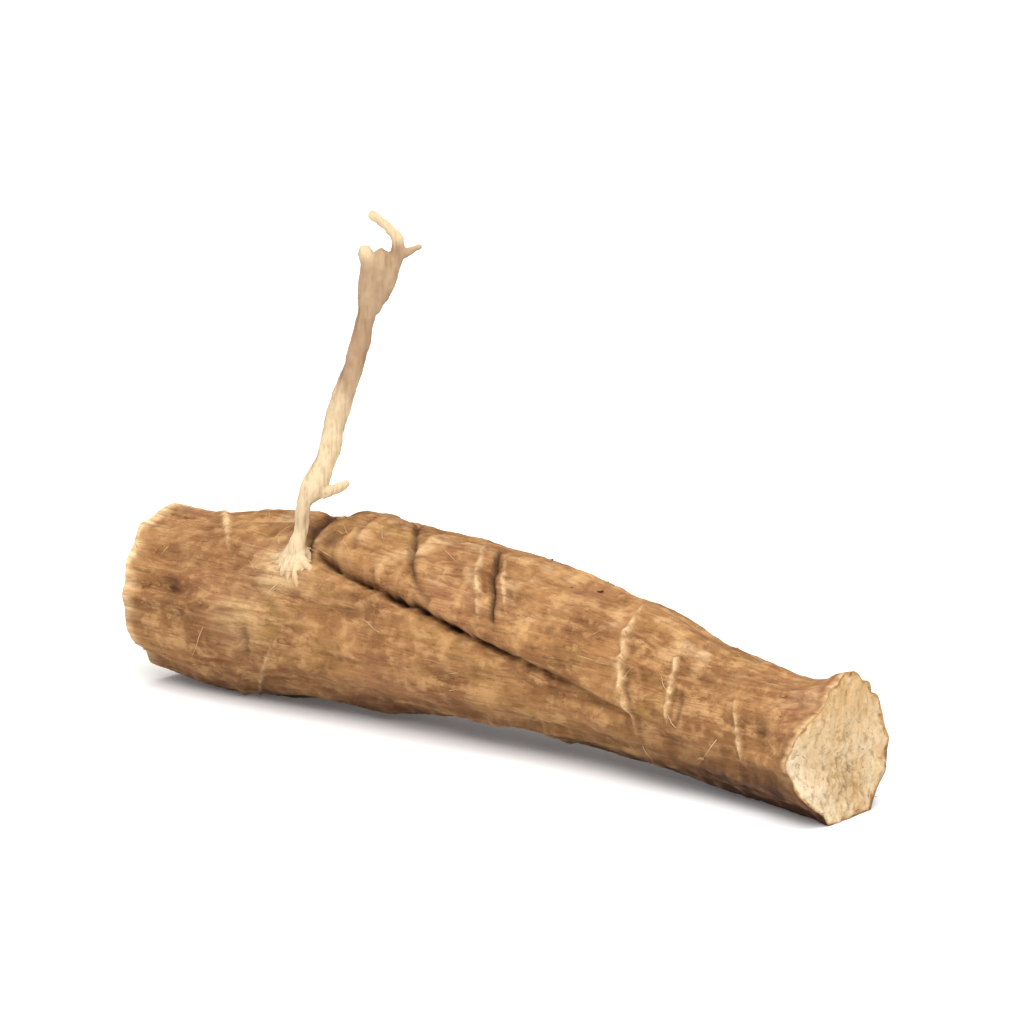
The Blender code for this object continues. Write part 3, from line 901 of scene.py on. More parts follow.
class Bench:
    """Adds and wires the nodes of one new material."""

    def __init__(self, name: str) -> None:
        """Starts a material with an empty Principled shader.

        Args:
            name: The material's name.
        """
        self.material = bpy.data.materials.new(name)
        self.material.use_nodes = True
        self.tree = self.material.node_tree
        self.shader = self.tree.nodes["Principled BSDF"]
        self.places = self.add("ShaderNodeTexCoord").outputs["Object"]

    def add(self, kind: str, **settings: object) -> bpy.types.Node:
        """Adds a node with its settings.

        Args:
            kind: Blender's name for the node's type.
            **settings: The node's settings.

        Returns:
            The node.
        """
        node = self.tree.nodes.new(kind)
        for name, value in settings.items():
            setattr(node, name, value)
        return node

    def feed(self, socket: bpy.types.NodeSocket, value: object) -> None:
        """Links an output to a socket, or sets the socket's value.

        Args:
            socket: The input.
            value: An output or a value.
        """
        if isinstance(value, bpy.types.NodeSocket):
            self.tree.links.new(value, socket)
        else:
            socket.default_value = value

    def measure(self, look: Look) -> bpy.types.NodeSocket:
        """One of the measures kept on the mesh."""
        return self.add("ShaderNodeAttribute", attribute_name=look.value).outputs["Fac"]

    def stretch(self, scale: Sequence[float]) -> bpy.types.NodeSocket:
        """Object coordinates, stretched along the axes.

        Args:
            scale: How much, along each axis.

        Returns:
            The coordinates.
        """
        mapping = self.add("ShaderNodeMapping")
        self.feed(mapping.inputs["Vector"], self.places)
        self.feed(mapping.inputs["Scale"], tuple(scale))
        return mapping.outputs["Vector"]

    def noise(
        self, scale: Sequence[float], detail: float = 3.0, rough: float = 0.55, warp: float = 0.0
    ) -> bpy.types.NodeSocket:
        """Noise from 0 to 1.

        Args:
            scale: Bumps to a metre along each axis.
            detail: How many finer layers it has.
            rough: How strong those are.
            warp: How much it is distorted.

        Returns:
            The noise's output.
        """
        node = self.add("ShaderNodeTexNoise")
        self.feed(node.inputs["Vector"], self.stretch(scale))
        self.feed(node.inputs["Scale"], 1.0)
        self.feed(node.inputs["Detail"], detail)
        self.feed(node.inputs["Roughness"], rough)
        self.feed(node.inputs["Distortion"], warp)
        return node.outputs["Fac"]

    def span(
        self, value: object, low: float, high: float, to_low: float = 0.0, to_high: float = 1.0
    ) -> bpy.types.NodeSocket:
        """A value moved smoothly from one span to another, and held within it.

        Args:
            value: The value.
            low: Where the first span starts.
            high: Where the first span ends.
            to_low: What low becomes.
            to_high: What high becomes.

        Returns:
            The moved value.
        """
        node = self.add("ShaderNodeMapRange", interpolation_type="SMOOTHSTEP")
        for name, number in zip(
            ("Value", "From Min", "From Max", "To Min", "To Max"), (value, low, high, to_low, to_high)
        ):
            self.feed(node.inputs[name], number)
        return node.outputs["Result"]

    def reckon(self, operation: str, first: object, second: object) -> bpy.types.NodeSocket:
        """Two numbers put together by a Math node's operation.

        Args:
            operation: The operation.
            first: A number or an output.
            second: A number or an output.

        Returns:
            The result.
        """
        node = self.add("ShaderNodeMath", operation=operation)
        self.feed(node.inputs[0], first)
        self.feed(node.inputs[1], second)
        return node.outputs[0]

    def blend(self, share: object, under: object, over: object) -> bpy.types.NodeSocket:
        """One colour laid over another by a share.

        Args:
            share: How much of the upper one shows.
            under: The lower colour.
            over: The upper colour.

        Returns:
            The mixed colour.
        """
        node = self.add("ShaderNodeMix", data_type="RGBA", clamp_factor=True)
        self.feed(node.inputs[0], share)
        for socket, colour in ((node.inputs[6], under), (node.inputs[7], over)):
            self.feed(socket, (*colour, 1.0) if isinstance(colour, tuple) else colour)
        return node.outputs[2]

    def wash(
        self, under: bpy.types.NodeSocket, layers: Iterable[tuple[bpy.types.NodeSocket, Colour, Span]]
    ) -> bpy.types.NodeSocket:
        """Lays colours over one another in turn.

        Args:
            under: The colour that they lie on.
            layers: For each, a value, its colour, and the span that makes the value its share.

        Returns:
            The colour with all of them laid on it.
        """
        for value, over, span in layers:
            under = self.blend(self.span(value, *span), under, over)
        return under

    def coat(
        self, colour: object, roughness: object, shine: float, normal: object = None
    ) -> bpy.types.Material:
        """Feeds the shader and hands over the material.

        Args:
            colour: The colour.
            roughness: How rough it is, from 0 to 1.
            shine: How strongly it mirrors, from 0 to 1.
            normal: The bumped normal, if there is one.

        Returns:
            The finished material.
        """
        self.feed(self.shader.inputs["Base Color"], colour)
        self.feed(self.shader.inputs["Roughness"], roughness)
        self.shader.inputs["Specular IOR Level"].default_value = shine
        if normal is not None:
            self.feed(self.shader.inputs["Normal"], normal)
        return self.material

    def bump(
        self, height: object, strength: object, distance: float, under: object = None
    ) -> bpy.types.NodeSocket:
        """A bump of the surface.

        Args:
            height: The height, from 0 to 1.
            strength: How strongly it shows.
            distance: How high 1 is, in metres.
            under: The normal that it lies on, if there is one.

        Returns:
            The new normal.
        """
        node = self.add("ShaderNodeBump")
        self.feed(node.inputs["Height"], height)
        self.feed(node.inputs["Strength"], strength)
        self.feed(node.inputs["Distance"], distance)
        if under is not None:
            self.feed(node.inputs["Normal"], under)
        return node.outputs["Normal"]


@dataclass(frozen=True)
class RootFinish:
    """Dry matt bark, and the pale wood of the cut ends."""

    tan: Colour = (0.360, 0.172, 0.061)
    brown: Colour = (0.228, 0.098, 0.032)
    ruddy: Colour = (0.300, 0.125, 0.055)
    ochre: Colour = (0.350, 0.200, 0.052)
    crest: Colour = (0.570, 0.320, 0.132)
    furrow: Colour = (0.115, 0.046, 0.015)
    speck: Colour = (0.090, 0.034, 0.009)
    # The near-black of the painted shade.
    hollow: Colour = (0.050, 0.016, 0.004)
    scar: Colour = (0.930, 0.650, 0.350)
    cork: Colour = (0.850, 0.565, 0.300)
    wood: Colour = (0.900, 0.655, 0.385)
    bright_wood: Colour = (0.990, 0.800, 0.530)
    ochre_wood: Colour = (0.840, 0.520, 0.215)
    cut_bark: Colour = (0.540, 0.310, 0.125)
    outer_bark: Colour = (0.260, 0.120, 0.042)
    pith: Colour = (0.580, 0.350, 0.140)
    wood_line: Colour = (0.470, 0.250, 0.092)
    # Painted shade in the slits and holes of the cut wood.
    wood_hole_shade: Colour = (0.250, 0.105, 0.030)
    roughness: tuple[float, float] = (0.95, 0.80)

    def make(self) -> bpy.types.Material:
        """Mixes the bark and the wood by the measures kept on the mesh.

        Returns:
            The material.
        """
        bench = Bench("dry_bark")
        crest, hollow = bench.measure(Look.CREST), bench.measure(Look.HOLLOW)
        bark = self._bark(bench, crest)
        wood = self._wood(bench, crest)
        on_cut = bench.measure(Look.CUT)
        crumbly = bench.span(bench.noise((900.0, 1300.0, 1300.0), 4.0, 0.65), 0.38, 0.58)
        ring = bench.blend(crumbly, self.outer_bark, self.cut_bark)
        # Painted shade darkens the bark; the cut ends show their ring of bark.
        colour = bench.blend(on_cut, bench.blend(hollow, bark, self.hollow), ring)
        # The cut wood, darkened with painted shade in its slits and holes.
        colour = bench.blend(bench.measure(Look.WOOD), colour, bench.blend(hollow, wood, self.wood_hole_shade))
        return bench.coat(colour, bench.span(crest, -1.0, 1.0, *self.roughness), 0.28, self._normal(bench))

    def _bark(self, bench: Bench, crest: bpy.types.NodeSocket) -> bpy.types.NodeSocket:
        """The bark's colour: broad patches, then ever finer ones, painted highlight on the relief's crests,
        painted shade in its furrows and in fine cracks, specks and pale scars.

        Args:
            bench: Where the material is made.
            crest: How high the relief stands.

        Returns:
            The colour.
        """
        patches = bench.noise((150.0, 230.0, 230.0), 4.0, 0.55)
        yellow = bench.noise((110.0, 260.0, 260.0), 3.0, 0.6)
        blotches = bench.noise((470.0, 700.0, 700.0), 4.0, 0.6)
        streaks = bench.noise((170.0, 2300.0, 2300.0), 4.0, 0.6, 0.4)
        mottle = bench.noise((1100.0, 1700.0, 1700.0), 5.0, 0.65)
        specks = bench.noise((3600.0, 5200.0, 5200.0), 2.0, 0.5)
        colour = bench.blend(bench.span(patches, 0.36, 0.62), self.brown, self.tan)
        colour = bench.wash(colour, (
            (bench.measure(Look.WARM), self.ruddy, (0.45, 0.95, 0.0, 0.70)),
            (yellow, self.ochre, (0.52, 0.70, 0.0, 0.45)),
            (blotches, self.crest, (0.51, 0.66, 0.0, 0.68)),
            (blotches, self.brown, (0.32, 0.47, 0.70, 0.0)),
            (streaks, self.crest, (0.52, 0.72, 0.0, 0.50)),
            (streaks, self.furrow, (0.30, 0.46, 0.50, 0.0)),
            # Painted highlight on the relief's crests, and painted shade in its furrows.
            (crest, self.crest, (0.10, 1.05, 0.0, 0.65)),
            (crest, self.furrow, (-1.15, -0.05, 0.70, 0.0)),
            (mottle, self.crest, (0.56, 0.74, 0.0, 0.45)),
            (mottle, self.furrow, (0.26, 0.42, 0.50, 0.0)),
        ))
        # Fine cracks drawn dark: painted shade, with no relief under them.
        bent = bench.reckon("SUBTRACT", bench.noise((100.0, 1250.0, 1250.0), 3.0, 0.55, 0.5), 0.5)
        cracks = bench.span(bench.reckon("ABSOLUTE", bent, 0.0), 0.0, 0.016, 1.0, 0.0)
        cracks = bench.reckon("MULTIPLY", cracks, bench.span(patches, 0.40, 0.60, 0.62, 0.18))
        colour = bench.blend(cracks, colour, self.furrow)
        colour = bench.wash(colour, ((specks, self.speck, (0.24, 0.33, 0.55, 0.0)),))
        # Pale bark laid along the streaks, painted highlights among it.
        in_streaks = bench.span(streaks, 0.36, 0.60, 0.45, 1.2)
        fibrous = bench.reckon("MULTIPLY", bench.measure(Look.PALE), in_streaks)
        colour = bench.blend(fibrous, colour, self.scar)
        # Pale scars, partly painted highlight.
        in_patches = bench.span(mottle, 0.36, 0.56, 0.42, 1.10)
        corky = bench.reckon("MULTIPLY", bench.measure(Look.SCAR), in_patches)
        corky = bench.reckon("MULTIPLY", corky, bench.span(streaks, 0.34, 0.52, 0.60, 1.05))
        return bench.blend(corky, colour, self.cork)

    def _wood(self, bench: Bench, crest: bpy.types.NodeSocket) -> bpy.types.NodeSocket:
        """The cut wood's colour, from the pale ring to the crumbly pith.

        Args:
            bench: Where the material is made.
            crest: How high the relief stands.

        Returns:
            The colour.
        """
        streak = bench.measure(Look.STREAK)
        grain = bench.noise((2200.0, 2600.0, 2600.0), 4.0, 0.6)
        patches = bench.noise((620.0, 620.0, 520.0), 3.0, 0.55)
        granules = bench.noise((1200.0, 1500.0, 1150.0), 4.0, 0.65)
        colour = bench.blend(bench.span(streak, -0.3, 0.9), self.wood, self.bright_wood)
        colour = bench.wash(colour, (
            (bench.measure(Look.WARM), self.ochre_wood, (0.0, 0.9, 0.0, 0.80)),
            (patches, self.ochre_wood, (0.50, 0.68, 0.0, 0.50)),
            (streak, self.bright_wood, (0.55, 1.25, 0.0, 0.85)),
            (streak, self.wood_line, (-1.0, -0.35, 0.45, 0.0)),
            (grain, self.wood_line, (0.28, 0.46, 0.55, 0.0)),
            (granules, self.wood_line, (0.34, 0.48, 0.55, 0.0)),
            (granules, self.bright_wood, (0.54, 0.66, 0.0, 0.60)),
        ))
        pith = bench.reckon("MULTIPLY", bench.measure(Look.PITH), bench.span(grain, 0.36, 0.60, 1.0, 0.30))
        colour = bench.blend(pith, colour, self.pith)
        # Painted shade in the low spots of the cut's relief.
        return bench.wash(colour, ((crest, self.wood_line, (-1.0, -0.15, 0.55, 0.0)),))

    @staticmethod
    def _normal(bench: Bench) -> bpy.types.NodeSocket:
        """Fine fibres along the root, grain and pores.

        Args:
            bench: Where the material is made.

        Returns:
            The bumped normal.
        """
        fibres = bench.noise((260.0, 3600.0, 3600.0), 6.0, 0.68, 0.3)
        normal = bench.bump(fibres, 0.85, 0.00020)
        grain = bench.noise((3000.0, 4200.0, 4200.0), 5.0, 0.65)
        normal = bench.bump(grain, 0.70, 0.00010, normal)
        rings = bench.noise((2100.0, 420.0, 420.0), 4.0, 0.6, 0.5)
        normal = bench.bump(rings, 0.55, 0.00016, normal)
        crumbs = bench.noise((1500.0, 1700.0, 1300.0), 6.0, 0.7)
        on_wood = bench.reckon("MULTIPLY", bench.measure(Look.WOOD), 0.85)
        return bench.bump(crumbs, on_wood, 0.00065, normal)


@dataclass(frozen=True)
class RootletFinish:
    """The pale skin of the fine rootlet, which turns to bark at its foot."""

    name: str = "pale_rootlet"
    bark: Colour = (0.560, 0.365, 0.175)
    light: Colour = (0.640, 0.490, 0.300)
    mid: Colour = (0.335, 0.210, 0.120)
    dark: Colour = (0.160, 0.082, 0.036)
    roughness: float = 0.80

    def make(self) -> bpy.types.Material:
        """Pale skin with darker fibres along it, darker where the measures say.

        Returns:
            The material.
        """
        bench = Bench(self.name)
        streaks = bench.noise((4200.0, 4200.0, 420.0), 4.0, 0.6)
        blotches = bench.noise((420.0, 420.0, 260.0), 3.0, 0.5)
        crest, pale = bench.measure(Look.CREST), bench.measure(Look.PALE)
        colour = bench.blend(bench.span(pale, 0.0, 1.0), self.mid, self.light)
        colour = bench.wash(colour, (
            (streaks, self.mid, (0.30, 0.50, 0.45, 0.0)),
            (blotches, self.mid, (0.56, 0.74, 0.0, 0.50)),
            # Painted shade between the fibres.
            (crest, self.dark, (-1.1, -0.1, 0.42, 0.0)),
        ))
        # Random darker blotches of the rootlet's skin.
        colour = bench.blend(bench.measure(Look.HOLLOW), colour, self.dark)
        colour = bench.blend(bench.measure(Look.WARM), colour, self.bark)
        return bench.coat(colour, self.roughness, 0.3, bench.bump(streaks, 0.8, 0.00010))


@dataclass(frozen=True)
class FibreFinish:
    """Dry straw-coloured hairs and torn fibres."""

    name: str = "dry_fibre"
    light: Colour = (0.640, 0.440, 0.230)
    dark: Colour = (0.300, 0.155, 0.060)
    roughness: float = 0.75

    def make(self) -> bpy.types.Material:
        """Fibres that differ a little from place to place.

        Returns:
            The material.
        """
        bench = Bench(self.name)
        patches = bench.noise((900.0, 900.0, 900.0), 2.0)
        colour = bench.blend(bench.span(patches, 0.35, 0.65), self.dark, self.light)
        return bench.coat(colour, self.roughness, 0.3)


@dataclass
class Bar:
    """Where the vertices of the straight bar lie: along it, around it, and how far in on its ends."""

    share: np.ndarray
    turn: np.ndarray
    angle: np.ndarray
    ring: np.ndarray
    on_end: np.ndarray

    @classmethod
    def of(cls, points: np.ndarray, form: RootForm, face_rings: int, gather: float) -> Bar:
        """Reads the bar's vertices.

        Args:
            points: The vertices.
            form: The root's form, whose seam the lines along the bar follow.
            face_rings: How many rings each end has.
            gather: How much the lines are gathered at the seam.

        Returns:
            The places on the bar.
        """
        share = points[:, 0] / form.length + 0.5
        turn = np.arctan2(-points[:, 1], points[:, 2])
        inner = 1.0 - np.hypot(points[:, 1], points[:, 2]) / form.thickest_radius
        ring = np.round(inner * face_rings) / face_rings
        on_end = (share < 1e-4) | (share > 1.0 - 1e-4)
        share = np.clip(share, 0.0, 1.0)
        angle = between(form.seams, share) + np.degrees(turn - gather * np.sin(turn))
        return cls(share, turn, angle, ring, on_end)


@dataclass
class RootBody:
    """The thick root with its bark and its two cut ends, as one closed mesh.

    Pairs are for the thick and the thin end. A pith is its place across and up in millimetres and its size.
    A slit is its end, its angle, the shares of the radius where it starts and stops, and its width.
    """

    form: RootForm
    relief: BarkRelief = field(default_factory=BarkRelief)
    finish: RootFinish = field(default_factory=RootFinish)
    lines: int = 216
    ring_cuts: tuple[int, int] = (100, 3)
    face_rings: int = 22
    gather: float = 0.34
    cut_roughness: float = 0.00026
    pith_sink: float = 0.00040
    slit_depth: float = 0.00026
    crumb_height: float = 0.00017
    ray_height: float = 0.00004
    bark_gap: float = 0.00006
    slit_shades: tuple[float, float] = (0.92, 0.62)
    bark_shares: tuple[float, float] = (0.925, 0.968)
    piths: tuple[tuple[float, float, float], ...] = ((0.2, 0.0, 2.2), (0.7, -1.7, 1.9))
    slits: tuple[tuple[End, float, float, float, float], ...] = (
        (End.THIN, 139.0, 0.30, 0.50, 0.034),
        (End.THIN, 197.0, 0.38, 0.58, 0.030),
        (End.THIN, 214.0, 0.70, 0.90, 0.026),
        (End.THICK, 8.0, 0.10, 0.82, 0.026),
        (End.THICK, 52.0, 0.35, 0.90, 0.018),
        (End.THICK, 97.0, 0.15, 0.74, 0.024),
        (End.THICK, 150.0, 0.30, 0.88, 0.020),
        (End.THICK, 204.0, 0.12, 0.80, 0.026),
        (End.THICK, 251.0, 0.40, 0.92, 0.018),
        (End.THICK, 305.0, 0.20, 0.84, 0.022),
    )

    def build(self) -> bpy.types.Object:
        """Makes the root's mesh, shapes it and dresses it.

        Returns:
            The finished piece.
        """
        piece = self._blank()
        self._sculpt(piece)
        finish_piece(piece, self.finish.make(), 70.0)
        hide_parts(NODE)
        return piece

    def _blank(self) -> bpy.types.Object:
        """A straight bar with rings cut round it, and rings inset in its two ends.

        Returns:
            The bar.
        """
        lay_down_tools()
        radius, length = self.form.thickest_radius, self.form.length
        bpy.ops.mesh.primitive_cylinder_add(
            vertices=self.lines,
            radius=radius,
            depth=length,
            end_fill_type="NGON",
            rotation=(0.0, math.pi / 2.0, 0.0),
        )
        piece = bpy.context.object
        piece.name = piece.data.name = "root_body"
        settle(piece)
        bpy.ops.object.mode_set(mode="EDIT")
        for cuts in self.ring_cuts:
            self._select_long_edges(piece)
            bpy.ops.mesh.subdivide(number_cuts=cuts)
        self._select_ends(piece)
        for _ in range(self.face_rings - 1):
            bpy.ops.mesh.inset(thickness=radius / self.face_rings, use_individual=True)
        bpy.ops.mesh.poke()
        bpy.ops.object.mode_set(mode="OBJECT")
        return piece

    @staticmethod
    def _select_long_edges(piece: bpy.types.Object) -> None:
        """Selects the edges that run along the bar, and nothing else.

        Args:
            piece: The bar, in edit mode.
        """
        bpy.ops.mesh.select_mode(type="EDGE")
        bpy.ops.mesh.select_all(action="DESELECT")
        mesh = bmesh.from_edit_mesh(piece.data)
        for edge in mesh.edges:
            ends = edge.verts[1].co - edge.verts[0].co
            edge.select_set(abs(ends.x) > 0.9 * ends.length)
        bmesh.update_edit_mesh(piece.data)

    @staticmethod
    def _select_ends(piece: bpy.types.Object) -> None:
        """Selects the two end faces, and nothing else.

        Args:
            piece: The bar, in edit mode.
        """
        bpy.ops.mesh.select_mode(type="FACE")
        bpy.ops.mesh.select_all(action="DESELECT")
        mesh = bmesh.from_edit_mesh(piece.data)
        for face in mesh.faces:
            face.select_set(abs(face.normal.x) > 0.9)
        bmesh.update_edit_mesh(piece.data)

    def _sculpt(self, piece: bpy.types.Object) -> None:
        """Moves the bar's vertices to the root's form and relief, and keeps the looks there.

        Args:
            piece: The bar.
        """
        bar = Bar.of(corners_of(piece), self.form, self.face_rings, self.gather)
        marks = self.relief.carve(self.form, bar.share, bar.angle)
        from_end = np.minimum(bar.share, 1.0 - bar.share) * self.form.length
        points = self.form.skin(bar.share, bar.angle, marks.rise * (1.0 - 0.6 * bell(from_end, 0.0004)))
        points[:, 0] += self._chips(bar.share, bar.angle)
        for end in End:
            chosen = bar.on_end & ((bar.share < 0.5) == (end is End.THICK))
            self._cut(end, chosen, bar, points, marks)
        self._map(piece, bar)
        move_corners(piece, points)
        for look in Look:
            keep_measure(piece, look, getattr(marks, look.value))

    def _chips(self, share: np.ndarray, angle: np.ndarray) -> np.ndarray:
        """How far the rims are chipped back along the root.

        Args:
            share: Shares of the length.
            angle: Angles from the top.

        Returns:
            How far, in metres along +X.
        """
        around = self.form.outward(angle)
        chip = Grain(71).rough(around * 2.6 + 3.0 * np.round(share)[:, None], 5)
        from_end = np.minimum(share, 1.0 - share) * self.form.length
        return self.relief.rim_chip * chip * bell(from_end, 0.0006) * np.where(share < 0.5, 1.0, -1.0)

    def _cut(self, end: End, chosen: np.ndarray, bar: Bar, points: np.ndarray, marks: Marks) -> None:
        """Shapes one cut end: rough wood in a ring of bark, with slits, and sunk at the pith.

        Args:
            end: Which end it is.
            chosen: The end's vertices.
            bar: Where the vertices were on the bar.
            points: The vertices, which are moved.
            marks: The looks, which are changed on the cut.
        """
        face = np.flatnonzero(chosen)
        rim = points[np.flatnonzero(chosen & (bar.ring < 1e-6))]
        middle, furthest = rim.mean(axis=0), (rim[:, 0] * end.value).max()
        depth, theta, start = bar.ring[face], bar.angle[face], points[face].copy()
        out = 1.0 - depth**1.25
        made = middle + (start - middle) * out[:, None]
        in_mm = made * 1000.0 + 40.0 * end.value
        short_by = np.maximum(0.0, furthest - start[:, 0] * end.value - 2.0 * self.form.cut_slant)
        rough = np.array([noise.noise(Vector(place)) for place in made * 900.0]) * self.cut_roughness
        from_middle = (made - middle) * 1000.0
        ray = self._rays(end, theta, out, in_mm)
        crumb = Grain(91).rough(in_mm * (0.9, 2.1, 1.8), 3)
        ragged = 0.030 * Grain(95).rough(in_mm * 1.1, 3)
        edge = self.bark_shares[end is End.THIN] + ragged
        is_wood = smooth(0.0, 0.03, edge - out)
        pith_y, pith_z, pith_size = self.piths[end is End.THIN]
        off_pith = np.hypot(from_middle[:, 1] - pith_y, from_middle[:, 2] - pith_z)
        core = bell(off_pith + 0.35 * crumb, pith_size)
        hole = smooth(0.30, 0.62, Grain(96).at(in_mm * (0.4, 1.5, 1.2)))
        hole = hole * np.clip(0.25 + core, 0.0, 1.0) * is_wood
        slit = np.maximum(self._slits(end, theta, out), 0.75 * hole)
        rise = rough + 0.5 * short_by * out - self.pith_sink * (1.0 - out) ** 2
        rise += self.ray_height * ray * is_wood + self.crumb_height * crumb * (0.60 + core)
        rise -= self.slit_depth * slit + self.bark_gap * bell(out - edge, 0.015)
        inner = depth > 1e-6
        made[:, 0] += end.value * rise
        points[face[inner]] = made[inner]
        marks.cut[face] = inner
        marks.wood[face] = is_wood * inner
        marks.pith[face] = np.clip(0.70 * core, 0.0, 1.0)
        # A painted pool of light on the thin end's face, towards its front and a little below, added to its
        # streaks.
        lit = 0.0 if end is End.THICK else bell(turned(theta, 112.0), 34.0) * smooth(0.50, 0.80, out)
        marks.streak[face] = 0.75 * ray + 0.10 + 1.1 * lit
        upper = smooth(-0.3, 1.0, from_middle[:, 2] / from_middle[:, 2].max() + 0.3 * ray)
        marks.warm[face] = 0.85 * upper if end is End.THIN else 0.40 + 0.35 * upper
        marks.crest[face[inner]] = (crumb * (0.60 + 0.50 * core) + 0.20 * ray)[inner]
        # A darker line where the wood meets the bark, over the small gap there.
        line = 0.30 * bell(out - edge, 0.012) * smooth(-0.2, 0.5, ray + crumb)
        # Painted shade in the slits and holes.
        dark = self.slit_shades[end is End.THIN] * slit
        marks.hollow[face[inner]] = np.clip(np.maximum(dark, line), 0.0, 1.0)[inner]
        for look in (marks.pale, marks.scar):
            look[face[inner]] = 0.0

    @staticmethod
    def _rays(end: End, angle: np.ndarray, out: np.ndarray, in_mm: np.ndarray) -> np.ndarray:
        """Streaks of a cut end: fibres torn upright on the thin end, rays and rings on the thick one.

        Args:
            end: Which end it is.
            angle: Angles from the top.
            out: Shares of the radius.
            in_mm: The places in millimetres.

        Returns:
            The streaks, from about -1 to 1.
        """
        if end is End.THIN:
            bent = in_mm + 0.5 * Grain(80).at(in_mm * 0.5)[:, None]
            return Grain(81).rough(bent * (0.3, 2.3, 0.42), 3)
        turn = np.radians(angle + 9.0 * Grain(80).at(in_mm * 0.5))
        spokes = np.column_stack((np.cos(turn) * 7.0, np.sin(turn) * 7.0, out * 1.4))
        growth = Grain(84).at(np.column_stack((out * 13.0, spokes[:, 0] * 0.16, spokes[:, 1] * 0.16)))
        return (Grain(81).rough(spokes - 7.0, 3) + 0.5 * growth) * smooth(0.08, 0.35, out)

    def _slits(self, end: End, angle: np.ndarray, out: np.ndarray) -> np.ndarray:
        """How much of a drying slit is at each place of a cut end.

        Args:
            end: Which end it is.
            angle: Angles from the top.
            out: Shares of the radius.

        Returns:
            The amount, from 0 to 1.
        """
        total = np.zeros_like(out)
        for where, turn, first, last, width in self.slits:
            if where is not end:
                continue
            wander = 5.0 * Grain(101).at(np.column_stack((out * 5.0 + turn, out * 0.0, out * 0.0)))
            across = np.radians(turned(angle, turn) + wander) * out
            within = smooth(first, first + 0.12, out) * (1.0 - smooth(last - 0.12, last, out))
            total = np.maximum(total, within * bell(across, width))
        return total

    @staticmethod
    def _map(piece: bpy.types.Object, bar: Bar) -> None:
        """Lays the mesh out flat: the bark as a strip, and the two ends as discs above it.

        Args:
            piece: The root.
            bar: Where its vertices were on the bar.
        """
        mesh, share, turn = piece.data, bar.share, bar.turn
        while mesh.uv_layers:
            mesh.uv_layers.remove(mesh.uv_layers[0])
        layer = mesh.uv_layers.new(name="OFBake")
        loops, faces = len(mesh.loops), len(mesh.polygons)
        vertex, start, count = np.empty(loops, np.int32), np.empty(faces, np.int32), np.empty(faces, np.int32)
        mesh.loops.foreach_get("vertex_index", vertex)
        mesh.polygons.foreach_get("loop_start", start)
        mesh.polygons.foreach_get("loop_total", count)
        face_of = np.repeat(np.arange(faces), count)
        around = (turn[vertex] + 2.0 * math.pi) % (2.0 * math.pi)
        highest = np.maximum.reduceat(around, start)[face_of]
        around = np.where(highest - around > math.pi, around + 2.0 * math.pi, around)
        margin, strip_height, turn_and_a_face = 0.01, 0.60, 2.0 * math.pi + 0.03
        strip = np.column_stack((
            margin + (1.0 - 2.0 * margin) * share[vertex], margin + strip_height * around / turn_and_a_face
        ))
        is_disc = np.minimum.reduceat(bar.on_end[vertex].astype(np.int8), start)[face_of].astype(bool)
        out = 1.0 - bar.ring[vertex]
        size, across, up = 0.17 * out, np.where(share[vertex] < 0.5, 0.20, 0.60), 0.81
        disc = np.column_stack((across + size * np.cos(turn[vertex]), up + size * np.sin(turn[vertex])))
        layer.data.foreach_set("uv", np.where(is_disc[:, None], disc, strip).astype(np.float32).ravel())


@dataclass(frozen=True)
class Twig:
    """A twig: points in metres from the rootlet's base, each with a radius as a share of the rootlet's."""

    name: str
    line: tuple[tuple[tuple[float, float, float], float], ...]


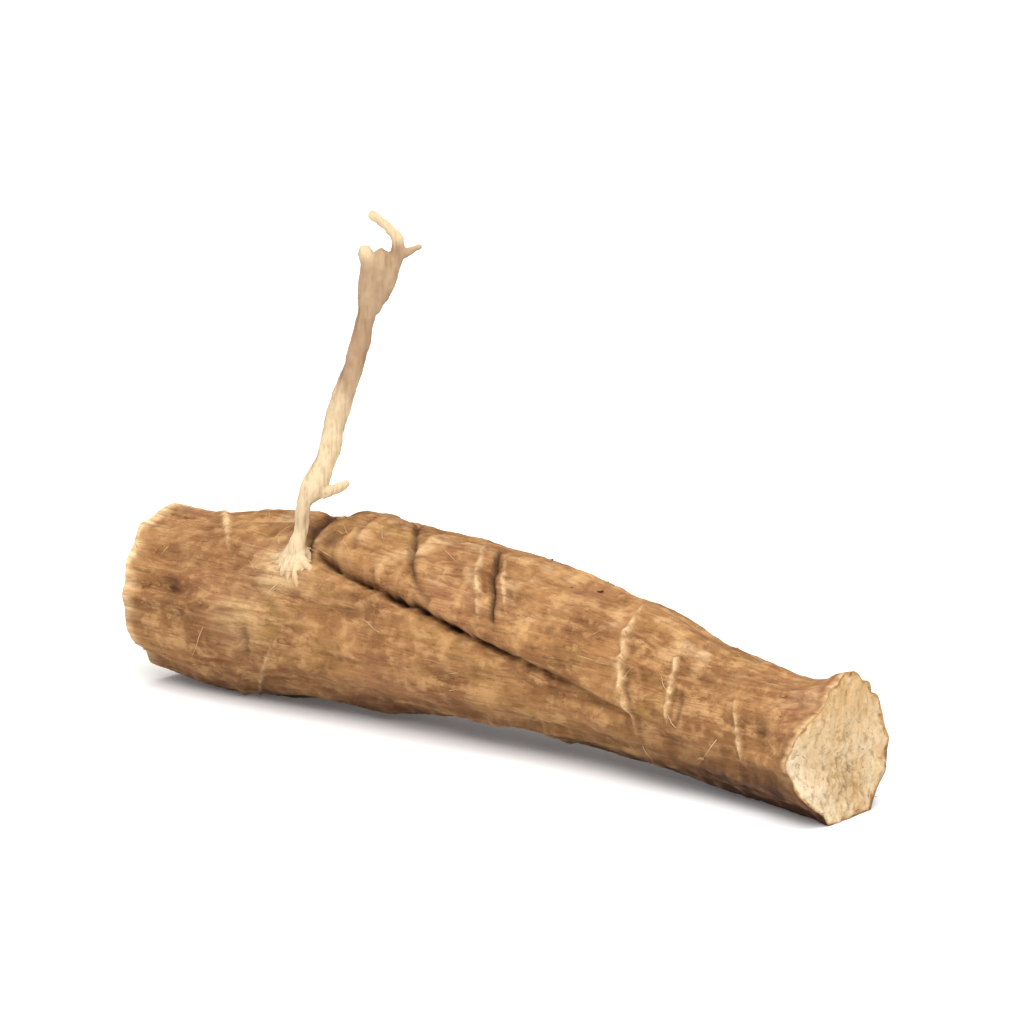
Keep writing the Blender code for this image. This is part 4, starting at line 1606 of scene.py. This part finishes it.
@dataclass
class Rootlet:
    """The fine rootlet that stands on the root: its stem, hooked tip and thorn, and the toes of its foot.

    Each toe is its direction in degrees from +X towards the underside, its reach, the height where it starts
    and how thick it is. The skin grows paler or darker between pairs of heights, by the third number.
    """

    form: RootForm
    finish: RootletFinish = field(default_factory=RootletFinish)
    share: float = 0.236
    angle: float = 45.0
    radius: float = 0.00076
    voxel: float = 0.000070
    toe_radius: float = 0.00026
    fibre_height: float = 0.000055
    knob_height: float = 0.00010
    paler: tuple[tuple[float, float, float], ...] = (
        (0.0072, 0.0102, -0.40), (0.0108, 0.0134, -0.54), (0.0148, 0.0170, 0.16), (0.0208, 0.0216, 0.55),
    )
    toes: tuple[tuple[float, float, float, float], ...] = (
        (64.0, 0.0027, 0.0018, 0.80), (84.0, 0.0021, 0.0009, 0.70), (108.0, 0.0017, 0.0012, 0.90),
        (134.0, 0.0019, 0.0008, 0.65), (158.0, 0.0021, 0.0012, 0.85), (178.0, 0.0025, 0.0015, 1.05),
        (203.0, 0.0020, 0.0008, 0.60), (27.0, 0.0024, 0.0010, 0.90), (45.0, 0.0018, 0.0013, 0.70),
        (236.0, 0.0015, 0.0010, 0.80), (276.0, 0.0013, 0.0012, 0.80), (8.0, 0.0013, 0.0008, 0.60),
    )
    twigs: tuple[Twig, ...] = (
        Twig(
            "stem",
            (
                ((0.0000, 0.0011, -0.0014), 1.50), ((0.0000, 0.0004, -0.0003), 1.22),
                ((0.0000, 0.0000, 0.0006), 0.80), ((0.0001, 0.0002, 0.0017), 0.58),
                ((0.0001, 0.0006, 0.0036), 0.68), ((0.0005, 0.0011, 0.0047), 1.16),
                ((0.0010, 0.0020, 0.0071), 0.90), ((0.0012, 0.0028, 0.0098), 0.98),
                ((0.0016, 0.0035, 0.0120), 0.92), ((0.0020, 0.0041, 0.0142), 0.86),
                ((0.0022, 0.0046, 0.0164), 0.82), ((0.0021, 0.0051, 0.0184), 0.98),
                ((0.0020, 0.0052, 0.0198), 0.86), ((0.0015, 0.0050, 0.0207), 0.58),
            ),
        ),
        Twig(
            "hook",
            (
                ((0.0023, 0.0050, 0.0166), 0.66), ((0.0028, 0.0056, 0.0180), 0.80),
                ((0.0032, 0.0060, 0.0194), 0.78), ((0.0035, 0.0063, 0.0206), 0.68),
                ((0.0033, 0.0062, 0.0219), 0.46), ((0.0019, 0.0054, 0.0232), 0.34),
            ),
        ),
        Twig(
            "web",
            (
                ((0.0024, 0.0053, 0.0178), 0.80), ((0.0027, 0.0056, 0.0196), 0.98),
                ((0.0026, 0.0057, 0.0206), 0.66),
            ),
        ),
        Twig(
            "thorn",
            (
                ((0.0004, 0.0010, 0.0044), 0.72), ((0.0014, 0.0015, 0.0045), 0.54),
                ((0.0026, 0.0023, 0.0052), 0.30),
            ),
        ),
        Twig(
            "spur",
            (
                ((0.0034, 0.0063, 0.0203), 0.50), ((0.0042, 0.0068, 0.0207), 0.36),
                ((0.0048, 0.0072, 0.0211), 0.22),
            ),
        ),
    )

    def build(self) -> bpy.types.Object:
        """Grows the twigs, makes them one skin and dresses it.

        Returns:
            The finished piece.
        """
        base = self.form.point(self.share, self.angle)
        out = self.form.way_out(self.angle)
        twigs = [grow_twig(twig.name, twig.line, base, self.radius, 16) for twig in self.twigs]
        for number, toe in enumerate(self.toes):
            twigs.append(self._toe(number, toe, base, out))
        take_up(twigs[0])
        for twig in twigs:
            twig.select_set(True)
        bpy.ops.object.join()
        piece = bpy.context.object
        piece.name = piece.data.name = "rootlet"
        apply_modifier(piece, "REMESH", mode="VOXEL", voxel_size=self.voxel)
        apply_modifier(piece, "SMOOTH", factor=0.5, iterations=6)
        self._sculpt(piece, base)
        finish_piece(piece, self.finish.make())
        return piece

    def _toe(
        self, number: int, toe: tuple[float, float, float, float], base: Vector, out: Vector
    ) -> bpy.types.Object:
        """Makes one toe, from the rootlet's neck down to the bark and along it, where its end sinks in.

        Args:
            number: The toe's number.
            toe: Its direction in degrees from +X towards the underside, its reach, where it starts and how
                thick it is.
            base: The rootlet's base.
            out: The way out of the root there.

        Returns:
            The toe.
        """
        direction, reach, height, thickness = toe
        turn = math.radians(direction)
        along = math.cos(turn) * reach / self.form.length
        around = math.degrees(math.sin(turn) * reach / self.form.thickest_radius)
        start = Vector((0.0001, 0.0002, height))
        spots = [
            self.form.point(self.share + along * part, self.angle + around * part) - base - out * sunk
            for part, sunk in ((0.38, -0.00010), (0.60, -0.00002), (0.82, 0.00010), (1.0, 0.00034))
        ]
        line = (
            (start, 1.0), (start * 0.45 + spots[0] * 0.40, 1.35), (spots[0], 1.35),
            (spots[1], 1.10), (spots[2], 0.85), (spots[3], 0.55),
        )
        return grow_twig(f"toe_{number}", line, base, self.toe_radius * thickness, 12)

    def _sculpt(self, piece: bpy.types.Object, base: Vector) -> None:
        """Adds the rootlet's own knobs and fibres, and keeps its looks, with darker blotches on its skin.

        Args:
            piece: The rootlet.
            base: Where it stands.
        """
        points = corners_of(piece)
        normals = np.empty(len(points) * 3)
        piece.data.vertices.foreach_get("normal", normals)
        normals = normals.reshape(-1, 3)
        height = points[:, 2] - base.z
        in_mm = points * 1000.0
        bent = in_mm + np.column_stack((0.0 * height, 0.0 * height, 0.6 * Grain(110).at(in_mm * 0.5)))
        fibres = Grain(111).rough(bent * (2.6, 2.6, 0.20), 3)
        knobs = Grain(121).rough(in_mm * (0.8, 0.8, 0.6), 3)
        amount = self.fibre_height * fibres + self.knob_height * knobs
        move_corners(piece, points + normals * amount[:, None])
        pale = np.ones_like(height)
        for low, high, change in self.paler:
            pale += change * smooth(low, high, height)
        knob = np.linalg.norm(points - np.array(base) - self.twigs[0].line[-1][0], axis=1)
        pale += 0.80 * bell(knob, 0.0007)
        pale -= 0.34 * smooth(0.0012, 0.0026, height) * (1.0 - smooth(0.0034, 0.0042, height))
        marks = {look: np.zeros_like(height) for look in (Look.CREST, Look.PALE, Look.HOLLOW, Look.WARM)}
        marks[Look.PALE] = np.clip(pale + 0.16 * knobs, 0.0, 1.0)
        from_base = np.linalg.norm(points - np.array(base), axis=1)
        marks[Look.WARM] = smooth(0.0009, 0.0024, from_base) * (1.0 - smooth(0.0009, 0.0014, height))
        marks[Look.CREST] = np.clip(0.9 * fibres + 0.45 * knobs, -1.0, 1.0)
        # Random darker blotches of the rootlet's skin.
        marks[Look.HOLLOW] = 0.15 * smooth(0.50, 0.85, -Grain(131).at(in_mm * 1.1))
        for look, values in marks.items():
            keep_measure(piece, look, values)


@dataclass
class LooseBits:
    """What clings to the root: torn fibres at the cuts, fine hairs along the bark and small flakes of it.

    Patterns are a unit long and copied smaller. Pairs of counts are for the thick and the thin end. What is
    named off_ keeps them clear of the table, the seam and the underside (degrees) and the scars (metres).
    """

    form: RootForm
    fibre_finish: FibreFinish = field(default_factory=FibreFinish)
    hairs: int = 120
    rim_fibres: tuple[int, int] = (40, 36)
    stubs: tuple[int, int] = (60, 56)
    flakes: int = 150
    hair_line: tuple[tuple[tuple[float, float, float], float], ...] = (
        ((0.0, 0.0, 0.0), 1.0), ((0.10, 0.02, 0.34), 0.85),
        ((0.06, 0.10, 0.68), 0.6), ((0.16, 0.12, 1.0), 0.25),
    )
    fibre_radius: float = 0.050
    hair_radius: float = 0.013
    off_table: float = 0.0008
    off_seam: float = 12.0
    off_scar: float = 0.0012
    off_underside: float = 50.0
    foot: tuple[float, float] = (0.236, 50.0)
    seed: int = 17

    def __post_init__(self) -> None:
        """Starts the count of chances afresh, so that every run is the same."""
        self.chance = np.random.default_rng(self.seed)

    def _any(self, low: float, high: float) -> float:
        """A random number between two."""
        return float(self.chance.uniform(low, high))

    def _near(self, middle: float, spread: float) -> float:
        """A random number that is mostly near the middle."""
        return float(self.chance.normal(middle, spread))

    def build(self, body: bpy.types.Object) -> list[bpy.types.Object]:
        """Places the fibres, hairs and flakes on the finished root.

        Args:
            body: The root's mesh, in its final form.

        Returns:
            The three pieces.
        """
        fibre = self.fibre_finish.make()
        pattern = grow_twig("fibre", self.hair_line[:3], Vector(), self.fibre_radius, 5)
        fibres = self._spread(pattern, self._at_rims() + self._on_cuts(body), "cut_fibres")
        pattern = grow_twig("hair", self.hair_line, Vector(), self.hair_radius, 4)
        hairs = self._spread(pattern, self._along_bark(), "bark_hairs")
        flakes = self._spread(self._flake(), self._flake_places(), "bark_flakes")
        for piece in (fibres, hairs):
            finish_piece(piece, fibre)
        finish_piece(flakes, body.data.materials[0], 40.0)
        return [fibres, hairs, flakes]

    @staticmethod
    def _flake() -> bpy.types.Object:
        """One flake of bark, a thin curled scale a millimetre long before it is made smaller.

        Returns:
            The pattern.
        """
        lay_down_tools()
        bpy.ops.mesh.primitive_circle_add(vertices=9, radius=0.5, fill_type="NGON")
        flake = bpy.context.object
        bpy.ops.object.mode_set(mode="EDIT")
        bpy.ops.mesh.inset(thickness=0.22)
        bpy.ops.mesh.poke()
        bpy.ops.mesh.select_all(action="SELECT")
        bpy.ops.transform.resize(value=(1.0, 0.45, 1.0))
        bpy.ops.object.mode_set(mode="OBJECT")
        points = corners_of(flake)
        uneven = Grain(141).at(points * 3.0)
        points[:, :2] *= (1.0 + 0.30 * uneven)[:, None]
        points[:, 2] = 0.35 * points[:, 0] ** 2 - 0.6 * points[:, 1] ** 2 + 0.05 * uneven
        move_corners(flake, points)
        apply_modifier(flake, "SOLIDIFY", thickness=0.07, offset=1.0)
        return flake

    def _spread(self, pattern: bpy.types.Object, places: list[Matrix], name: str) -> bpy.types.Object:
        """Copies a pattern to places, each copy with its own mesh, and makes one piece of them.

        Args:
            pattern: What is copied, and then removed.
            places: A place and size for each copy.
            name: The piece's name.

        Returns:
            The piece.
        """
        copies = []
        for place in places:
            copy = pattern.copy()
            copy.data = pattern.data.copy()
            copy.matrix_world = place
            bpy.context.collection.objects.link(copy)
            copies.append(copy)
        bpy.data.objects.remove(pattern)
        bpy.context.view_layer.update()
        take_up(copies[0])
        for copy in copies:
            copy.select_set(True)
        bpy.ops.object.join()
        piece = bpy.context.object
        settle(piece)
        piece.name = piece.data.name = name
        return piece

    @staticmethod
    def _stand(spot: Vector, way: Vector, up: Vector, size: tuple[float, float, float]) -> Matrix:
        """Places a pattern at a spot, its +Z along a way and its +X as near as can be to up.

        Args:
            spot: The spot.
            way: The way that +Z takes.
            up: The way that +X takes.
            size: The size along its own axes.

        Returns:
            The place.
        """
        ahead = way.normalized()
        side = ahead.cross(up).normalized()
        turn = Matrix((side.cross(ahead), side, ahead)).transposed().to_4x4()
        return Matrix.Translation(spot) @ turn @ Matrix.Diagonal((*size, 1.0))

    def _at_rims(self) -> list[Matrix]:
        """Torn fibres that stick out along the rims of the two cuts.

        Returns:
            A place and size for each copy.
        """
        places = []
        for end, count in zip(End, self.rim_fibres):
            for _ in range(count):
                angle = self._any(-180.0, 180.0)
                share = 0.5 + 0.5 * end.value * self._any(0.984, 0.997)
                out = self.form.way_out(angle)
                spot = self.form.point(share, angle) - out * 0.00010
                if spot.z < self.off_table:
                    continue
                way = Vector((end.value, 0.0, 0.0)) + out * self._any(-0.25, 0.45)
                way += Vector(self.chance.normal(0.0, 0.25, 3))
                long = self._any(0.00035, 0.00080)
                places.append(self._stand(spot, way, out, (long, long, long)))
        return places

    def _on_cuts(self, body: bpy.types.Object) -> list[Matrix]:
        """Short stubs of fibre that stand on the cut wood.

        Args:
            body: The root's finished mesh.

        Returns:
            A place and size for each copy.
        """
        wood = np.empty(len(body.data.vertices), np.float32)
        body.data.attributes[Look.WOOD.value].data.foreach_get("value", wood)
        points = corners_of(body)
        places = []
        for end, count in zip(End, self.stubs):
            on_end = np.flatnonzero((wood > 0.9) & (points[:, 0] * end.value > 0.0))
            for vertex in self.chance.choice(on_end, count, replace=False):
                spot = Vector(points[vertex]) - Vector((end.value * 0.00012, 0.0, 0.0))
                way = Vector((end.value * 0.5, 0.0, 0.0)) + Vector(self.chance.normal(0.0, 0.45, 3))
                if way.x * end.value < 0.15:
                    way.x = end.value * 0.15
                long = self._any(0.00025, 0.00060)
                places.append(self._stand(spot, way, Vector((0.0, 0.0, 1.0)), (1.5 * long, 1.5 * long, long)))
        return places

    def _along_bark(self) -> list[Matrix]:
        """Fine hairs that lie along the bark, more of them round the rootlet's foot.

        Returns:
            A place and size for each copy.
        """
        places = []
        for number in range(self.hairs):
            if number % 4 == 0:
                share, angle = self._near(self.foot[0], 0.030), self._near(self.foot[1], 20.0)
            else:
                share, angle = self._any(0.03, 0.95), self._any(-180.0, 180.0)
            if abs(float(turned(np.array([angle]), 180.0)[0])) < self.off_underside:
                continue
            out = self.form.way_out(angle)
            spot = self.form.point(share, angle) - out * 0.00006
            side = out.cross(Vector((1.0, 0.0, 0.0)))
            turn = self._near(0.0, 0.7) + (math.pi if self.chance.random() < 0.5 else 0.0)
            way = Vector((math.cos(turn), 0.0, 0.0)) + side * math.sin(turn)
            way += out * self._any(0.08, 0.42)
            long = self._any(0.0008, 0.0022)
            places.append(self._stand(spot, way, out, (long, long, long)))
        return places

    def _flake_places(self) -> list[Matrix]:
        """Small flakes that lift off the bark.

        Returns:
            A place and size for each copy.
        """
        places = []
        for _ in range(self.flakes):
            share, angle = self._any(0.03, 0.96), self._any(-140.0, 140.0)
            place = np.array([share]), np.array([angle])
            if abs(angle - float(between(self.form.seams, place[0])[0])) < self.off_seam:
                continue
            to_scars = (abs(float(self.form.off_line(scar, *place)[0][0])) for scar in self.form.scars)
            if min(to_scars) < self.off_scar:
                continue
            out = self.form.way_out(angle)
            spot = self.form.point(share, angle) - out * 0.00001
            lean = out + Vector(self.chance.normal(0.0, 0.09, 3))
            along = Vector((1.0, 0.0, 0.0)) + out.cross(Vector((1.0, 0.0, 0.0))) * self._near(0.0, 0.5)
            long = self._any(0.00030, 0.00090)
            places.append(self._stand(spot, lean, along, (long, long * self._any(0.6, 1.1), long)))
        return places


@dataclass(frozen=True)
class Lamp:
    """A round soft light that faces the root: where it hangs, its width in metres and its watts."""

    name: str
    place: tuple[float, float, float]
    width: float
    power: float


@dataclass
class Studio:
    """The pale floor, the soft lights and the camera.

    The camera aims off the middle of the thin end's rim, by pixels of the photograph to the right and up.
    """

    azimuth: float = 41.0
    elevation: float = 14.0
    frame_width: float = 0.06795
    distance: float = 1.2
    thin_end: tuple[float, float, float] = (0.02977, 0.0, 0.0)
    aim: tuple[float, float] = (-74.7, 66.6)
    pixel: float = 0.000302
    room_light: float = 0.46
    table_radius: float = 3.0
    table_white: float = 0.91
    table_glow: float = 0.07
    lamps: tuple[Lamp, ...] = (
        Lamp("light_above", (0.10, -0.14, 0.68), 1.00, 7.7),
        Lamp("light_in_front", (0.40, -0.34, 0.36), 0.30, 1.50),
    )

    def build(self) -> None:
        """Lays the floor, hangs the lights and sets the camera."""
        self._floor()
        self._lights()
        self._camera()

    def _floor(self) -> None:
        """A plain white table, lit a little from below."""
        lay_down_tools()
        bpy.ops.mesh.primitive_circle_add(vertices=96, radius=self.table_radius, fill_type="NGON")
        floor = bpy.context.object
        floor.name = "floor"
        bench = Bench("white_table")
        bench.shader.inputs["Emission Color"].default_value = (1.0, 1.0, 1.0, 1.0)
        bench.shader.inputs["Emission Strength"].default_value = self.table_glow
        floor.data.materials.append(bench.coat((*[self.table_white] * 3, 1.0), 0.9, 0.1))

    def _lights(self) -> None:
        """A white room, a large soft light above and a weaker one in front."""
        world = bpy.data.worlds.new("white_room")
        world.use_nodes = True
        background = world.node_tree.nodes["Background"]
        background.inputs["Color"].default_value = (1.0, 1.0, 1.0, 1.0)
        background.inputs["Strength"].default_value = self.room_light
        bpy.context.scene.world = world
        for lamp in self.lamps:
            bpy.ops.object.light_add(type="AREA", location=lamp.place)
            light = bpy.context.object
            light.name = lamp.name
            light.data.shape, light.data.size, light.data.energy = "DISK", lamp.width, lamp.power
            light.rotation_euler = Vector(lamp.place).to_track_quat("Z", "Y").to_euler()

    def _camera(self) -> None:
        """A long lens at the photograph's angle."""
        turn, lift = math.radians(self.azimuth), math.radians(self.elevation)
        back = Vector((math.sin(turn) * math.cos(lift), -math.cos(turn) * math.cos(lift), math.sin(lift)))
        right = Vector((math.cos(turn), math.sin(turn), 0.0))
        up = back.cross(right)
        target = Vector(self.thin_end) + right * self.aim[0] * self.pixel + up * self.aim[1] * self.pixel
        bpy.ops.object.camera_add(location=target + back * self.distance)
        camera = bpy.context.object
        camera.name = "camera"
        camera.rotation_euler = back.to_track_quat("Z", "Y").to_euler()
        camera.data.sensor_width = 36.0
        camera.data.lens = 36.0 * self.distance / self.frame_width
        camera.data.clip_start, camera.data.clip_end = 0.05, 20.0
        bpy.context.scene.camera = camera


def main() -> None:
    """Builds the dressed root and its studio, and reports each piece."""
    logging.basicConfig(level=logging.INFO, format="%(name)s: %(message)s")
    for old in ("Cube", "Light", "Camera"):
        if old in bpy.data.objects:
            bpy.data.objects.remove(bpy.data.objects[old])
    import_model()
    form = RootForm()
    body = RootBody(form).build()
    Rootlet(form).build()
    LooseBits(form).build(body)
    Studio().build()
    bpy.context.scene.view_settings.view_transform = "Standard"


if __name__ == "__main__":
    main()
